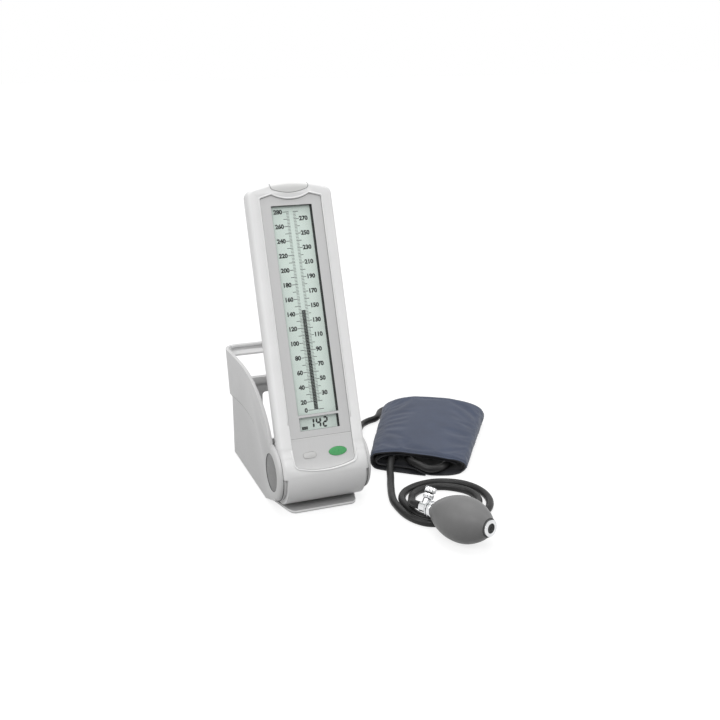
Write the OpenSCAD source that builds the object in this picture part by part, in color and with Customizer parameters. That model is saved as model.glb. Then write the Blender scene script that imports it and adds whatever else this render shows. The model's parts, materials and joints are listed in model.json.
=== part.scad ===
// Digital column sphygmomanometer: a display column that tilts in a stand, with its cuff, hoses and bulb.
// X runs to the right of the display, Y to its back, Z up. The origin lies on the table under the tilt axis.

/* [Column] */
// Height of the column's top above the tilt axis
column_h = 291; // [260:1:350]
// Width of the front shell
column_w = 90.6; // [86:0.1:108]
// Depth from the back plane to the front rim
column_d = 28.6; // [27:0.1:34]
// Radius of the arc along the column's top
top_arc_r = 127; // [100:1:200]
// Radius of the two top corners
top_corner_r = 8; // [8:0.5:14]
// Thickness of the shell walls
shell_t = 2.2; // [1.8:0.1:2.6]
// Width of the rounding along the front rim
rim_round_w = 4.2; // [3:0.1:5]
// Depth of the rounding along the front rim
rim_round_d = 6.6; // [4:0.1:7]

/* [Hub] */
// Height of the tilt axis above the table
hub_z = 40; // [40:0.5:50]
// Radius of the round foot of the column
hub_r = 33.5; // [33:0.1:36]
// Lean of the column towards the back, in degrees
lean = 21.3; // [0:0.1:60]
// Radius of the two pivot stubs
stub_r = 8; // [6:0.1:10]
// Radial play of the pivot stubs
stub_play = 0.05; // [0.03:0.01:0.1]
// Radius of the boss that carries a stub on each cheek
boss_r = 29; // [26:0.1:29.5]
// Radius of the grey hub caps
cap_r = 19.5; // [16:0.1:22]

/* [Display] */
// Width of the silver fascia
fascia_w = 64.4; // [58:0.1:66]
// Width of the upper display window
scale_window_w = 43; // [36:0.1:45]
// Lower edge of the upper display window
scale_window_u0 = 53.6; // [53:0.1:60]
// Distance from the column's top down to the upper display window
scale_window_drop = 25; // [24:0.1:40]
// Height of the lower display window
digit_window_h = 13.3; // [10:0.1:14]
// Thickness of the fascia plates
fascia_t = 1; // [0.8:0.1:1.2]
// Thickness of the display glass
glass_t = 2.6; // [2:0.1:3]

/* [Stand] */
// Gap between the two cheeks
cheek_gap = 91.6; // [87:0.1:110]
// Thickness of the cheeks
cheek_t = 3.4; // [3:0.1:4]
// Depth of the stand behind the tilt axis, without its handle
stand_d = 162; // [140:1:195]
// Height of the cheeks' top edge
stand_h = 120.5; // [105:0.5:140]
// Height of the crease where the wings begin
crease_z = 70; // [60:1:80]
// Height of the back wall
back_wall_z = 88; // [80:1:95]
// How far the handle stands out behind the stand
handle_out = 28; // [20:1:34]
// Thickness of the base plate
base_t = 3; // [2:0.1:3.5]
// Height of the rubber feet
foot_h = 1; // [0.5:0.1:1.5]

/* [Battery] */
// Diameter of a cell
cell_d = 14.3; // [10.5:0.1:14.3]
// Length of a cell
cell_l = 50.2; // [44:0.1:50.4]
// Travel of the battery door
door_travel = 12; // [8:0.5:14]

/* [Keys] */
// Travel of the three keys
key_travel = 1.2; // [0.8:0.1:1.2]
// Gap around each key
key_gap = 0.25; // [0.2:0.05:0.4]
// Half width of the power key
power_half = 20; // [14:0.5:22]

/* [Air] */
// Outer diameter of the two hoses
hose_d = 8; // [7:0.1:8]
// Outer radius of the tube inside the stand
tube_r = 1.9; // [1.6:0.1:2]
// Bore radius of the tube inside the stand
tube_bore_r = 1; // [0.8:0.1:1.2]

/* [Bulb] */
// Length of the rubber bulb
bulb_l = 74.4; // [65:0.1:80]
// Largest radius of the rubber bulb
bulb_r = 22.6; // [20:0.1:22.6]

/* [Cuff] */
// Length of the roll along its axis
cuff_b = 150; // [130:1:160]
// Half width of the roll at its mouth
cuff_mouth = 54; // [52:1:60]
// Half width of the roll at its back
cuff_back = 64; // [56:1:70]
// Thickness of the cuff's cloth
cloth_t = 0.9; // [0.7:0.05:0.95]
// Thickness of the bladder
bladder_t = 1.2; // [0.8:0.1:1.4]

/* [Hidden] */
$fn = 64;
hull_t = 0.05;
far = 400;

// Column widths
column_half = column_w / 2;
hub_half = column_half - rim_round_w;
back_inset = 3;
back_round = 3.5;
hub_clear = 0.7;
seam_w = 15;
seam_u = 22;
tab_angle = -14.3;
blend_r = 30;
blend_w = column_d + blend_r;
blend_u = sqrt((hub_r + blend_r) ^ 2 - blend_w ^ 2);
blend_angle = atan2(blend_u, blend_w);
blend_step = 0.02;
round_steps = [0 : 15 : 90];

// Layers of the column, measured forward from its back plane
back_wall = 2;
fascia_w1 = column_d - 1.2;
fascia_w0 = fascia_w1 - fascia_t;
front_wall_w = fascia_w0 - 1.8;
lens_t = 1.2;
lens_w = front_wall_w - lens_t;
glass_w = lens_w - 0.2 - glass_t;
frame_t = 1.7;
frame_w = glass_w - frame_t;
board_t = 1.6;
board_w = frame_w - 0.1 - board_t;

// Display places
fascia_half = fascia_w / 2;
panel_split = 30.9;
panel_gap = 0.15;
panel_low = -2.4;
panel_arc_r = 98;
scale_half = scale_window_w / 2;
digit_half = scale_half - 0.7;
digit_u0 = 37.8;
digit_u1 = digit_u0 + digit_window_h;
scale_u1 = column_h - scale_window_drop;
fascia_top = column_h - 13.6;
window_clear = 0.3;
glass_half = scale_half + 2;
frame_half = glass_half + 2.5;
display_u0 = digit_u0 - 1.3;
display_u1 = scale_u1 + 1.5;
glass_split = (digit_u1 + scale_window_u0) / 2;
board_half = frame_half + 7;
ear_x = frame_half + 3.5;
board_u0 = 32;
board_u1 = scale_u1 + 6;
tongue_half = 12;
tongue_u = column_h - 6;
ear_us = [display_u0 + 8, (display_u0 + display_u1) / 2, display_u1 - 8];

// Keys
mark_at = [-14.5, 13.3];
mark_size = [13.5, 6];
count_at = [15.2, 13.5];
count_size = [19, 9];
key_proud = 0.6;
flange_out = 1.5;
flange_t = 1.2;
flange_w = front_wall_w - flange_t;
power_low = column_h - 12;
power_arc_r = 44;
switch_top = flange_w - key_travel - 0.1;
key_board_w = switch_top - 2.5;
key_board_screw_us = [6.5, 19.5];
key_board_screw_x = -1;

// Screws
screw_r = 1.5;
screw_clear = 0.2;
pilot_clear = 0.05;
screw_head_r = 2.8;
screw_head_t = 1.8;
small_screw_r = 1.1;
small_head_r = 2;
small_head_t = 1.3;
shell_screw_x = 37;
shell_screw_us = [62, column_h - 33];
hub_screw_x = 30;
hub_screw_u = -20;
boss_wall = 2;

// Battery bay
cell_gap = 0.3;
cell_x = cell_d / 2 + cell_gap / 2;
cell_w = back_wall - 0.1 + cell_d / 2;
tray_wall = 1.2;
tray_half = cell_d + cell_gap + 0.8 + tray_wall;
tray_u0 = 91;
tray_end = 3.5;
tray_u1 = tray_u0 + cell_l + 2 * tray_end;
tray_floor_w = board_w - 1;
door_half = tray_half - tray_wall;
door_lip = 1.3;
door_u0 = tray_u0 - 2;
door_u1 = tray_u1 + 2.5;
door_gap = 0.1;

// Stand widths
cheek_in = cheek_gap / 2;
cheek_out = cheek_in + cheek_t;
boss_in = hub_half + 0.5;
ring_edge = 2.7;
cap_floor = boss_in + 2.9;
cap_gap = 0.3;
cap_proud = -0.3;
flange_r = 14;
stub_flange_t = 1.8;
stub_end = 34.5;
stub_bore_r = 2.6;
stub_screw_at = 11;
washer_r = 24;
washer_play = 0.05;
hub_wall = 2.2;
bearing_r = 13;
bearing_in = 35.5;
floor_z = foot_h;
corner_r = 8;
wing_r = 16;
wing_proud = 0.8;
wing_y0 = 110;
wing_slant = 13;
wing_pivot_z = 76;
wing_stop_x = 42;
handle_yr = stand_d + handle_out - 0.5;
handle_z1 = stand_h - 0.5;
wing_yr = (handle_yr - (handle_z1 - wing_pivot_z) * tan(wing_slant)) * cos(wing_slant);
handle_z0 = handle_z1 - 8;
shelf_t = 2.6;
lip_h = 8;
lip_d = 3;
slot_half = 12.6;
slot_z0 = 8;
slot_z1 = back_wall_z - 19.5;
foot_y = -21.5;
plate_half = cheek_in - 0.1;
base_y1 = stand_d - cheek_t - 0.1;
plate_cut = 4.5;
base_boss_ys = [40, stand_d - 18];
base_boss_x = cheek_in - 4.3;
base_boss_r = 3.8;
base_boss_h = 8;

// Air line inside the stand
port_y = 130;
port_z = 24;
tube_x = cheek_in - 2;
tube_slope = atan2(hub_z - port_z, port_y);
tube_run = sqrt(port_y ^ 2 + (hub_z - port_z) ^ 2);
elbow_r = 4;
tube_tip_x = 31;
channel_clear = 0.15;
port_half = 4.5;
nipple_play = 0.05;
nipple_r = tube_bore_r - nipple_play;
nipple_len = 4;
barb_r = 3;
nut_t = 3;
barb_end = 64;
clip_places = [45, 85];
clip_w = 4;
clip_wall = 1;

// Bulb
bulb_at = [84.8, -93.5, 19.2];
bulb_az = -66.6;
bulb_el = 5.1;
neck_r = 7;
plug_r = 4.6;
bulb_wall = 2.6;
screw_turn = 146;
valve_mid = -7;
valve_r = 5.2;
stem_r = 2.4;
stem_play = 0.05;

// Cuff roll: the middle line of its strip as place across the mouth, height at the mouth, height at the back
cuff_at = [128, 30.5];
cuff_across = [0.888, -0.46];
cuff_along = [0.521, 0.854];
cuff_half_ref = 54;
ply_gap = 0.3;
strip_half = bladder_t / 2 + ply_gap + cloth_t;
strip_full = 3.6;
lay1 = strip_full / 2;
lay2 = lay1 + strip_full + 0.8;
cuff_line = [
    [-2, lay1, lay1], [-12, lay1, lay1], [-26, lay1, lay1], [-42, lay1, lay1], [-48, 2.6, 2.8],
    [-51.4, 5.6, 6.4], [-52.4, 10, 11], [-51.8, 14.2, 16], [-49.2, 17.4, 20.4], [-44, 19.2, 24.6],
    [-34, 20.6, 29.2], [-22, 21.4, 31.6], [-10, 21, 32.2], [4, 19.8, 31.8], [18, 18.6, 30.6],
    [31, 17.2, 28.2], [42, 15.6, 24.4], [48.8, 13, 19.8], [52, 9.6, 13.8], [51.6, 5.4, 7.4],
    [48.6, 2.5, 3], [43, lay1, lay1], [30, lay1, lay1], [16, lay1, lay1], [8.5, 3.1, 3.1], [2, 5.4, 5.4],
    [-5, lay2, lay2], [-22, lay2, lay2], [-38, lay2, lay2], [-43.4, 6.8, 6.8], [-46.2, 8.7, 8.6],
    [-45.6, 11, 10.8], [-42, 13.2, 12.8]];
cuff_hem = 3;
hook_ends = [-38, -3];

// Routes of the two hoses
hose_r = hose_d / 2;
lay_z = 4.1;
roll_z = 7.9;
port_hose_z = 12.4;
gauge_route = [[54, 130, 24], [66, 130, 24], [78, 132, 21], [89, 138, 15.5], [99, 148, 9.5],
    [108, 160, 5.2], [116, 172, lay_z], [127, 180, lay_z], [139, 185, lay_z], [147, 194, lay_z],
    [154, 205, lay_z], [166, 212, lay_z], [181, 215, lay_z], [197, 214, lay_z], [213, 209, lay_z],
    [226, 199, 4.6], [234, 185, 5.8], [236, 169, 7], [231, 153, roll_z], [222, 137, roll_z],
    [202, 101, roll_z], [183, 65, roll_z], [165, 30, roll_z], [157, 20, roll_z], [146, 13, roll_z],
    [134, 14, 8.4], [125, 22, 11.2], [120, 33, port_hose_z], [122, 42, port_hose_z], [126, 49, port_hose_z]];
bulb_route = [[106, 52, port_hose_z], [102, 45, port_hose_z], [97, 36, 10.8], [93, 27, 7.2],
    [89, 16, 4.5], [84, 4, lay_z], [79, -9, lay_z], [74, -23, lay_z], [70, -38, lay_z], [69, -54, lay_z],
    [70, -69, lay_z], [74, -82, lay_z], [81, -92, lay_z], [91, -97.5, lay_z], [104, -99, lay_z],
    [118, -99, lay_z], [132, -98, lay_z], [146, -93, lay_z], [157, -83, lay_z], [164, -69, lay_z],
    [166, -53, lay_z], [163, -38, lay_z], [155, -25, lay_z], [143, -16, lay_z], [129, -11, lay_z],
    [114, -11, lay_z], [100, -15, lay_z], [88, -23, lay_z], [80, -36, lay_z], [78, -51, lay_z],
    [79, -65, lay_z], [82, -77, lay_z], [89, -85, lay_z], [101, -88.5, lay_z], [115, -89, lay_z],
    [129, -86, lay_z], [143, -79, lay_z], [152, -69, lay_z], [155, -56, lay_z], [152, -42, lay_z],
    [143, -31, lay_z], [131, -23, lay_z], [117, -21, lay_z], [104, -24, lay_z], [94, -32, 4.3],
    [88, -43, 6.4], [83, -54, 10], [78, -64, 14], [76.8, -73, 16.8], [79.3, -80.8, 17.95]];

// Colours
white_c = [0.9, 0.9, 0.9];
pale_c = [0.86, 0.86, 0.86];
silver_c = [0.78, 0.78, 0.78];
grey_c = [0.53, 0.53, 0.53];
dark_c = [0.25, 0.24, 0.23];
steel_c = [0.75, 0.75, 0.77];
board_c = [0.1, 0.45, 0.2];
cloth_c = [0.35, 0.38, 0.44];

function arc_pts(c, r, a0, a1, n) =
    [for (i = [0 : n]) let (a = a0 + (a1 - a0) * i / n) [c[0] + r * cos(a), c[1] + r * sin(a)]];

function rounded_pts(w, h, r, n = 6) = concat(
    arc_pts([w / 2 - r, h / 2 - r], r, 0, 90, n), arc_pts([r - w / 2, h / 2 - r], r, 90, 180, n),
    arc_pts([r - w / 2, r - h / 2], r, 180, 270, n), arc_pts([w / 2 - r, r - h / 2], r, 270, 360, n));

function unit(v) = v / norm(v);

// Outline of the column's front, drawn in by an inset, from a lower edge up
corner_x = column_half - top_corner_r;
corner_u = column_h - top_arc_r + sqrt((top_arc_r - top_corner_r) ^ 2 - corner_x ^ 2);
corner_a = atan2(corner_u - (column_h - top_arc_r), corner_x);
function column_pts(inset, low) = concat(
    [[column_half - inset, low]],
    arc_pts([corner_x, corner_u], top_corner_r - inset, 0, corner_a, 5),
    arc_pts([0, column_h - top_arc_r], top_arc_r - inset, corner_a, 180 - corner_a, 12),
    arc_pts([-corner_x, corner_u], top_corner_r - inset, 180 - corner_a, 180, 5),
    [[inset - column_half, low]]);

// Rounding of the front rim: how far it comes in and how far it drops at an angle
function rim_in(a) = rim_round_w * (1 - sin(a));
function rim_drop(a) = rim_round_d * (1 - cos(a));

module column_frame() {
    translate([0, 0, hub_z]) rotate([-lean, 0, 0]) children();
}

// Extrudes an outline in the column's face from one depth to another
module face(w0, w1) {
    translate([0, -w0, 0]) rotate([90, 0, 0]) linear_extrude(w1 - w0) children();
}

// Extrudes an outline of forward and upward lengths across the column
module across(x0, x1) {
    translate([x1, 0, 0]) rotate([90, 0, -90]) linear_extrude(x1 - x0) children();
}

// A cylinder about the tilt axis in the column's own place
module hub_rod(r, x0, x1) {
    translate([x0, 0, 0]) rotate([0, 90, 0]) cylinder(r = r, h = x1 - x0);
}

// A pin that points forward at a place on the column's face
module face_pin(x, u, r, w0, w1) {
    translate([x, -w0, u]) rotate([90, 0, 0]) cylinder(r = r, h = w1 - w0);
}

// Turns a profile of radius and width about an axis across the column
module turned_across(w, u) {
    translate([0, -w, u]) rotate([0, 90, 0]) rotate_extrude($fn = 96) children();
}

module both_sides() {
    children();
    mirror([1, 0, 0]) children();
}

// Front form with its rounded rim, the blend into the hub and the ring around the cheeks' bosses
module front_form() {
    hull() {
        for (a = round_steps)
            face(column_d - rim_drop(a) - hull_t, column_d - rim_drop(a))
                polygon(column_pts(rim_in(a), blend_u));
        face(seam_w, seam_w + hull_t) polygon(column_pts(0, blend_u));
    }
    difference() {
        across(-column_half, column_half)
            polygon([[0, 0], [blend_w, blend_u], [0, blend_u]]);
        turned_across(blend_w, blend_u) polygon(concat(
            [[0, -column_half - 1], [blend_r + rim_round_d, -column_half - 1]],
            [for (a = [90 : -15 : 0]) [blend_r - blend_step + rim_drop(a), rim_in(a) - column_half]],
            [for (a = round_steps) [blend_r - blend_step + rim_drop(a), column_half - rim_in(a)]],
            [[blend_r + rim_round_d, column_half + 1], [0, column_half + 1]]));
    }
    intersection() {
        turned_across(0, 0) polygon(concat(
            [[0, -column_half]],
            [for (a = [90 : -15 : 0]) [hub_r - rim_drop(a), rim_in(a) - column_half]],
            [for (a = round_steps) [hub_r - rim_drop(a), column_half - rim_in(a)]],
            [[0, column_half]]));
        across(-column_half, column_half) polygon([[0, 0],
            [2 * hub_r * cos(tab_angle), 2 * hub_r * sin(tab_angle)],
            [2 * hub_r * cos(blend_angle), 2 * hub_r * sin(blend_angle)]]);
    }
    intersection() {
        hub_rod(hub_r, -hub_half, hub_half);
        across(-hub_half, hub_half) polygon([[0, 0],
            [2 * hub_r * cos(blend_angle), 2 * hub_r * sin(blend_angle)],
            [2 * hub_r, -2 * hub_r], [0, -2 * hub_r]]);
    }
}

// Space beside the hub for the cheeks' bosses
module boss_space() {
    both_sides() hub_rod(boss_r + hub_clear, hub_half, far);
}

module key_panel_2d(out = 0) {
    c = panel_low + panel_arc_r;
    half = fascia_half + out;
    end_a = asin((half - 3) / (panel_arc_r + out));
    polygon(concat(
        [[half, panel_split + out], [-half, panel_split + out]],
        [[-half, c - panel_arc_r * cos(end_a) + 4]],
        [[-half + 0.9, c - panel_arc_r * cos(end_a) + 1.2]],
        arc_pts([0, c], panel_arc_r + out, 270 - end_a, 270 + end_a, 16),
        [[half - 0.9, c - panel_arc_r * cos(end_a) + 1.2]],
        [[half, c - panel_arc_r * cos(end_a) + 4]]));
}

module fascia_2d(out = 0) {
    half = fascia_half + out;
    shoulder = power_half - 0.2;
    dip = 5.4;
    dip_r = (shoulder ^ 2 + dip ^ 2) / (2 * dip);
    dip_a = asin(shoulder / dip_r);
    polygon(concat(
        [[half, panel_split + panel_gap - out], [half, fascia_top - 4.2 + out]],
        [[half - 0.7, fascia_top - 3.4 + out]],
        arc_pts([0, fascia_top - dip + dip_r + out], dip_r, 270 + dip_a, 270 - dip_a, 12),
        [[0.7 - half, fascia_top - 3.4 + out], [-half, fascia_top - 4.2 + out]],
        [[-half, panel_split + panel_gap - out]]));
}

module windows_2d(out = 0) {
    translate([0, (scale_window_u0 + scale_u1) / 2])
        square([2 * (scale_half + out), scale_u1 - scale_window_u0 + 2 * out], center = true);
    translate([0, (digit_u0 + digit_u1) / 2])
        square([2 * (digit_half + out), digit_window_h + 2 * out], center = true);
}

module power_2d(out = 0) {
    half = power_half + out;
    cr = 4 + out;
    side = power_half - 4;
    low_c = power_low + power_arc_r;
    end_a = asin(side / power_arc_r);
    polygon(concat(
        arc_pts([0, low_c], power_arc_r + out, 270 - end_a, 270 + end_a, 12),
        arc_pts([side, low_c - power_arc_r * cos(end_a) + 4], cr, end_a - 90, 0, 5),
        [[half, column_h + 5], [-half, column_h + 5]],
        arc_pts([-side, low_c - power_arc_r * cos(end_a) + 4], cr, 180, 270 - end_a, 5)));
}

module mark_2d(out = 0) {
    translate(mark_at) polygon(rounded_pts(mark_size[0] + 2 * out, mark_size[1] + 2 * out,
        mark_size[1] / 2 + out - 0.01));
}

module count_2d(out = 0) {
    translate(count_at) polygon([for (a = [0 : 10 : 350])
        [(count_size[0] / 2 + out) * cos(a), (count_size[1] / 2 + out) * sin(a)]]);
}

// Hollow inside the two shells
module shell_cavity() {
    face(seam_w - 1, front_wall_w) polygon(column_pts(shell_t, hub_r));
    face(back_wall, seam_w) polygon(column_pts(back_inset + shell_t, hub_r));
    across(hub_wall - hub_half, hub_half - hub_wall)
        polygon([[0, 0], [front_wall_w, 0], [front_wall_w, hub_r + 1], [back_wall, hub_r + 1],
            [back_wall, hub_r - shell_t], [0, hub_r - shell_t]]);
    intersection() {
        hub_rod(hub_r - shell_t, hub_wall - hub_half, hub_half - hub_wall);
        across(-hub_half, hub_half) polygon([[-hub_r, -hub_r], [hub_r, -hub_r], [hub_r, panel_low - 4.1],
            [front_wall_w, panel_low - 4.1], [front_wall_w, hub_r], [-hub_r, hub_r]]);
    }
}

module bearing_bosses() {
    both_sides() hub_rod(bearing_r, bearing_in, hub_half);
}

module bearing_bores() {
    both_sides() hub_rod(stub_r + stub_play, bearing_in - 1, hub_half + 1);
}

// Side of the seam that belongs to the front shell
module front_side_2d() {
    polygon([[0, -far], [far, -far], [far, far], [seam_w, far], [seam_w, seam_u], [0, seam_u]]);
}

module back_side_2d() {
    polygon([[0, -far], [0, seam_u], [seam_w, seam_u], [seam_w, far], [-far, far], [-far, -far]]);
}

module front_shell() {
    color(white_c) column_frame() difference() {
        union() {
            difference() {
                intersection() {
                    front_form();
                    across(-far, far) front_side_2d();
                }
                boss_space();
                both_sides() across(hub_half, far) polygon([[-far, -far], [seam_w, -far], [seam_w, far],
                    [-far, far]]);
                shell_cavity();
            }
            intersection() {
                bearing_bosses();
                across(-far, far) front_side_2d();
            }
            both_sides() for (u = shell_screw_us)
                face_pin(shell_screw_x, u, screw_r + boss_wall, seam_w, front_wall_w + 0.5);
            both_sides() face_pin(hub_screw_x, hub_screw_u, screw_r + boss_wall, 0, 22);
            both_sides() for (u = ear_us)
                face_pin(ear_x, u, small_screw_r + boss_wall, frame_w + frame_t, front_wall_w + 0.5);
            for (u = key_board_screw_us)
                face_pin(key_board_screw_x, u, 2.6, key_board_w + board_t, front_wall_w + 0.5);
        }
        bearing_bores();
        face(fascia_w0, far) fascia_2d(0.1);
        face(fascia_w0, far) key_panel_2d(0.1);
        face(front_wall_w - 1, far) windows_2d(window_clear);
        face(flange_w - 1, far) mark_2d(key_gap);
        face(flange_w - 1, far) count_2d(key_gap);
        face(flange_w - key_travel - 0.3, far) power_2d(key_gap + 0.1);
        both_sides() for (u = shell_screw_us)
            face_pin(shell_screw_x, u, screw_r + pilot_clear, seam_w - 1, seam_w + 8);
        both_sides() face_pin(hub_screw_x, hub_screw_u, screw_r + pilot_clear, -1, 8);
        both_sides() for (u = ear_us)
            face_pin(ear_x, u, small_screw_r + pilot_clear, frame_w, front_wall_w - 0.2);
        for (u = key_board_screw_us)
            face_pin(key_board_screw_x, u, small_screw_r + pilot_clear, key_board_w, front_wall_w - 0.2);
    }
}

// Back form with rounded back edges and the back half of the hub
module back_form() {
    hull() {
        for (a = round_steps)
            face(back_round * (1 - cos(a)), back_round * (1 - cos(a)) + hull_t)
                polygon(column_pts(back_inset + back_round * (1 - sin(a)), seam_u));
        face(seam_w - hull_t, seam_w) polygon(column_pts(back_inset, seam_u));
    }
    intersection() {
        hub_rod(hub_r, -hub_half, hub_half);
        across(-hub_half, hub_half) polygon([[-far, -far], [0, -far], [0, seam_u], [back_round + 1, seam_u],
            [back_round + 1, far], [-far, far]]);
    }
}

// Sunk track of the battery door, open at the back
module door_track() {
    u1 = door_u1 + door_travel + 2 * door_gap;
    translate([0, 0.01, door_u0 - door_gap]) linear_extrude(u1 - door_u0 + door_gap)
        polygon([[door_half + 0.15, 1], [door_half + 0.15, -0.8], [door_half + door_lip + 0.2, -0.8],
            [door_half + door_lip + 0.2, -1.6], [-door_half - door_lip - 0.2, -1.6],
            [-door_half - door_lip - 0.2, -0.8], [-door_half - 0.15, -0.8], [-door_half - 0.15, 1]]);
}

module rear_shell() {
    color(white_c) column_frame() difference() {
        union() {
            difference() {
                back_form();
                boss_space();
                shell_cavity();
            }
            intersection() {
                bearing_bosses();
                across(-far, far) back_side_2d();
            }
            both_sides() for (u = shell_screw_us)
                face_pin(shell_screw_x, u, screw_head_r + 1.6, back_wall - 0.5, seam_w);
            intersection() {
                both_sides() face_pin(hub_screw_x, hub_screw_u, screw_head_r + 1.6, -hub_r, 0);
                hub_rod(hub_r - 0.5, -hub_half, hub_half);
            }
            intersection() {
                for (x = sensor_post_xs) face_pin(x, 0, 3, -hub_r, sensor_board_w);
                hub_rod(hub_r - 0.5, -hub_half, hub_half);
            }
        }
        bearing_bores();
        both_sides() for (u = shell_screw_us) {
            face_pin(shell_screw_x, u, screw_head_r + 0.4, -1, seam_w - 4);
            face_pin(shell_screw_x, u, screw_r + screw_clear, 0, seam_w + 1);
        }
        both_sides() {
            face_pin(hub_screw_x, hub_screw_u, screw_head_r + 0.4, -far, -6);
            face_pin(hub_screw_x, hub_screw_u, screw_r + screw_clear, -7, 1);
        }
        for (x = sensor_post_xs)
            face_pin(x, 0, small_screw_r + pilot_clear, sensor_board_w - 6, sensor_board_w + 1);
        door_track();
        face(-1, back_wall + 1) translate([0, (tray_u0 + tray_u1) / 2])
            square([2 * door_half - 1, tray_u1 - tray_u0 - 2], center = true);
    }
}

module display_fascia() {
    color(silver_c) column_frame() face(fascia_w0, fascia_w1) difference() {
        fascia_2d();
        windows_2d();
    }
}

module key_fascia() {
    color(silver_c) column_frame() face(fascia_w0, fascia_w1) difference() {
        key_panel_2d();
        mark_2d(key_gap);
        count_2d(key_gap);
    }
}

module display_lens() {
    color([0.85, 0.9, 0.88, 0.5]) column_frame() face(lens_w, front_wall_w)
        translate([0, (display_u0 + display_u1) / 2])
            square([2 * glass_half, display_u1 - display_u0], center = true);
}

module scale_display() {
    color([0.8, 0.87, 0.83]) column_frame() face(glass_w, glass_w + glass_t)
        translate([-glass_half, glass_split + 0.2]) square([2 * glass_half, display_u1 - glass_split - 0.2]);
}

module digit_display() {
    color([0.8, 0.87, 0.83]) column_frame() face(glass_w, glass_w + glass_t)
        translate([-glass_half, display_u0]) square([2 * glass_half, glass_split - display_u0 - 0.2]);
}

strip_us = [glass_split - 3, glass_split + 1];
strip_h = 2;
module strip_2d(out = 0) {
    for (u = strip_us)
        translate([-glass_half + 2 - out, u - out]) square([2 * glass_half - 4 + 2 * out, strip_h + 2 * out]);
}

module display_frame() {
    color(white_c) column_frame() difference() {
        union() {
            face(frame_w, front_wall_w) translate([-frame_half, display_u0 - 2.5])
                square([2 * frame_half, display_u1 - display_u0 + 5]);
            both_sides() for (u = ear_us) {
                face_pin(ear_x, u, 3.2, frame_w, frame_w + frame_t);
                face(frame_w, frame_w + frame_t) translate([frame_half - 1, u - 3.2]) square([4.5, 6.4]);
            }
        }
        face(frame_w + frame_t, far) translate([-glass_half - 0.2, display_u0 - 0.2])
            square([2 * glass_half + 0.4, display_u1 - display_u0 + 0.4]);
        face(0, frame_w + frame_t + 1) strip_2d(0.1);
        both_sides() for (u = ear_us) face_pin(ear_x, u, small_screw_r + screw_clear, 0, far);
    }
}

module contact_strips() {
    color([0.9, 0.6, 0.6]) column_frame() face(board_w + board_t, glass_w) strip_2d();
}

module main_board() {
    color(board_c) column_frame() difference() {
        union() {
            face(board_w, board_w + board_t) translate([-board_half, board_u0])
                square([2 * board_half, board_u1 - board_u0]);
            face(board_w, board_w + board_t) translate([-tongue_half, board_u1 - 1])
                square([2 * tongue_half, tongue_u - board_u1 + 1]);
        }
        both_sides() for (u = ear_us) face_pin(ear_x, u, small_screw_r + screw_clear, 0, far);
        both_sides() for (u = shell_screw_us)
            face_pin(shell_screw_x, u, screw_head_r + 2, 0, far);
    }
}

// Chips, crystal and capacitors on the back of the main board
module board_parts() {
    color(dark_c) column_frame() {
        face(board_w - 1.4, board_w) translate([-6, 66]) square([12, 12]);
        face(board_w - 1.2, board_w) translate([-7, 168]) square([14, 7]);
        face(board_w - 1.2, board_w) translate([-7, 200]) square([14, 7]);
        face_pin(18, 165, 3.1, board_w - 7, board_w);
        face_pin(18, 176, 3.1, board_w - 7, board_w);
        face(board_w - 3.4, board_w) translate([12, 70]) square([10, 3.5]);
    }
}

module key_board() {
    color(board_c) column_frame() difference() {
        face(key_board_w, key_board_w + board_t) translate([-27, 3]) square([54, 19]);
        for (u = key_board_screw_us) face_pin(key_board_screw_x, u, small_screw_r + screw_clear, 0, far);
    }
}

module key_switches() {
    color(dark_c) column_frame() {
        for (at = [mark_at, count_at]) face_pin(at[0], at[1], 2.6, key_board_w + board_t, switch_top);
        face(board_w + board_t, switch_top - 0.7) translate([-3, power_low + 1 - 3]) square([6, 6]);
        face_pin(0, power_low + 1, 1.7, switch_top - 0.7, switch_top);
    }
}

module buzzer() {
    color(dark_c) column_frame() face_pin(-20, 66, 6, board_w - 3, board_w);
}

// Pressure sensor on its own board, with its nipple on the tilt axis
sensor_post_xs = [2, 26];
sensor_board_w = -7.6;
sensor_half = 6;
sensor_x0 = 8;
sensor_x1 = 20;

module sensor_board() {
    color(board_c) column_frame() difference() {
        face(sensor_board_w, sensor_board_w + board_t) translate([-2, -9]) square([32, 18]);
        for (x = sensor_post_xs) face_pin(x, 0, small_screw_r + screw_clear, -far, far);
    }
}

module pressure_sensor() {
    color(dark_c) column_frame() {
        face(sensor_board_w + board_t, sensor_half) translate([sensor_x0, -sensor_half])
            square([sensor_x1 - sensor_x0, 2 * sensor_half]);
        hub_rod(2.2, sensor_x1 - 0.5, sensor_x1 + 5);
        hub_rod(nipple_r, sensor_x1 + 4, tube_tip_x + nipple_len);
    }
}

module battery_tray() {
    color(white_c) column_frame() difference() {
        face(back_wall, board_w) translate([-tray_half, tray_u0]) square([2 * tray_half, tray_u1 - tray_u0]);
        face(0, tray_floor_w) translate([-tray_half + tray_wall, tray_u0 + tray_wall])
            square([2 * (tray_half - tray_wall), tray_u1 - tray_u0 - 2 * tray_wall]);
    }
}

// A contact plate at each end of each cell, with a stud or a spring seat
module battery_contacts() {
    color(steel_c) column_frame() for (side = [-1, 1]) {
        face(back_wall + 1, tray_floor_w) {
            translate([side * cell_x - 6, tray_u0 + tray_wall]) square([12, 0.5]);
            translate([side * cell_x - 6, tray_u1 - tray_wall - 0.5]) square([12, 0.5]);
        }
        translate([side * cell_x, -cell_w, tray_u0 + tray_wall + 0.5])
            cylinder(r = 2.5, h = tray_end - tray_wall - 0.5);
        translate([side * cell_x, -cell_w, tray_u1 - tray_end])
            cylinder(r1 = 3, r2 = 4.5, h = tray_end - tray_wall - 0.5);
    }
}

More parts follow.
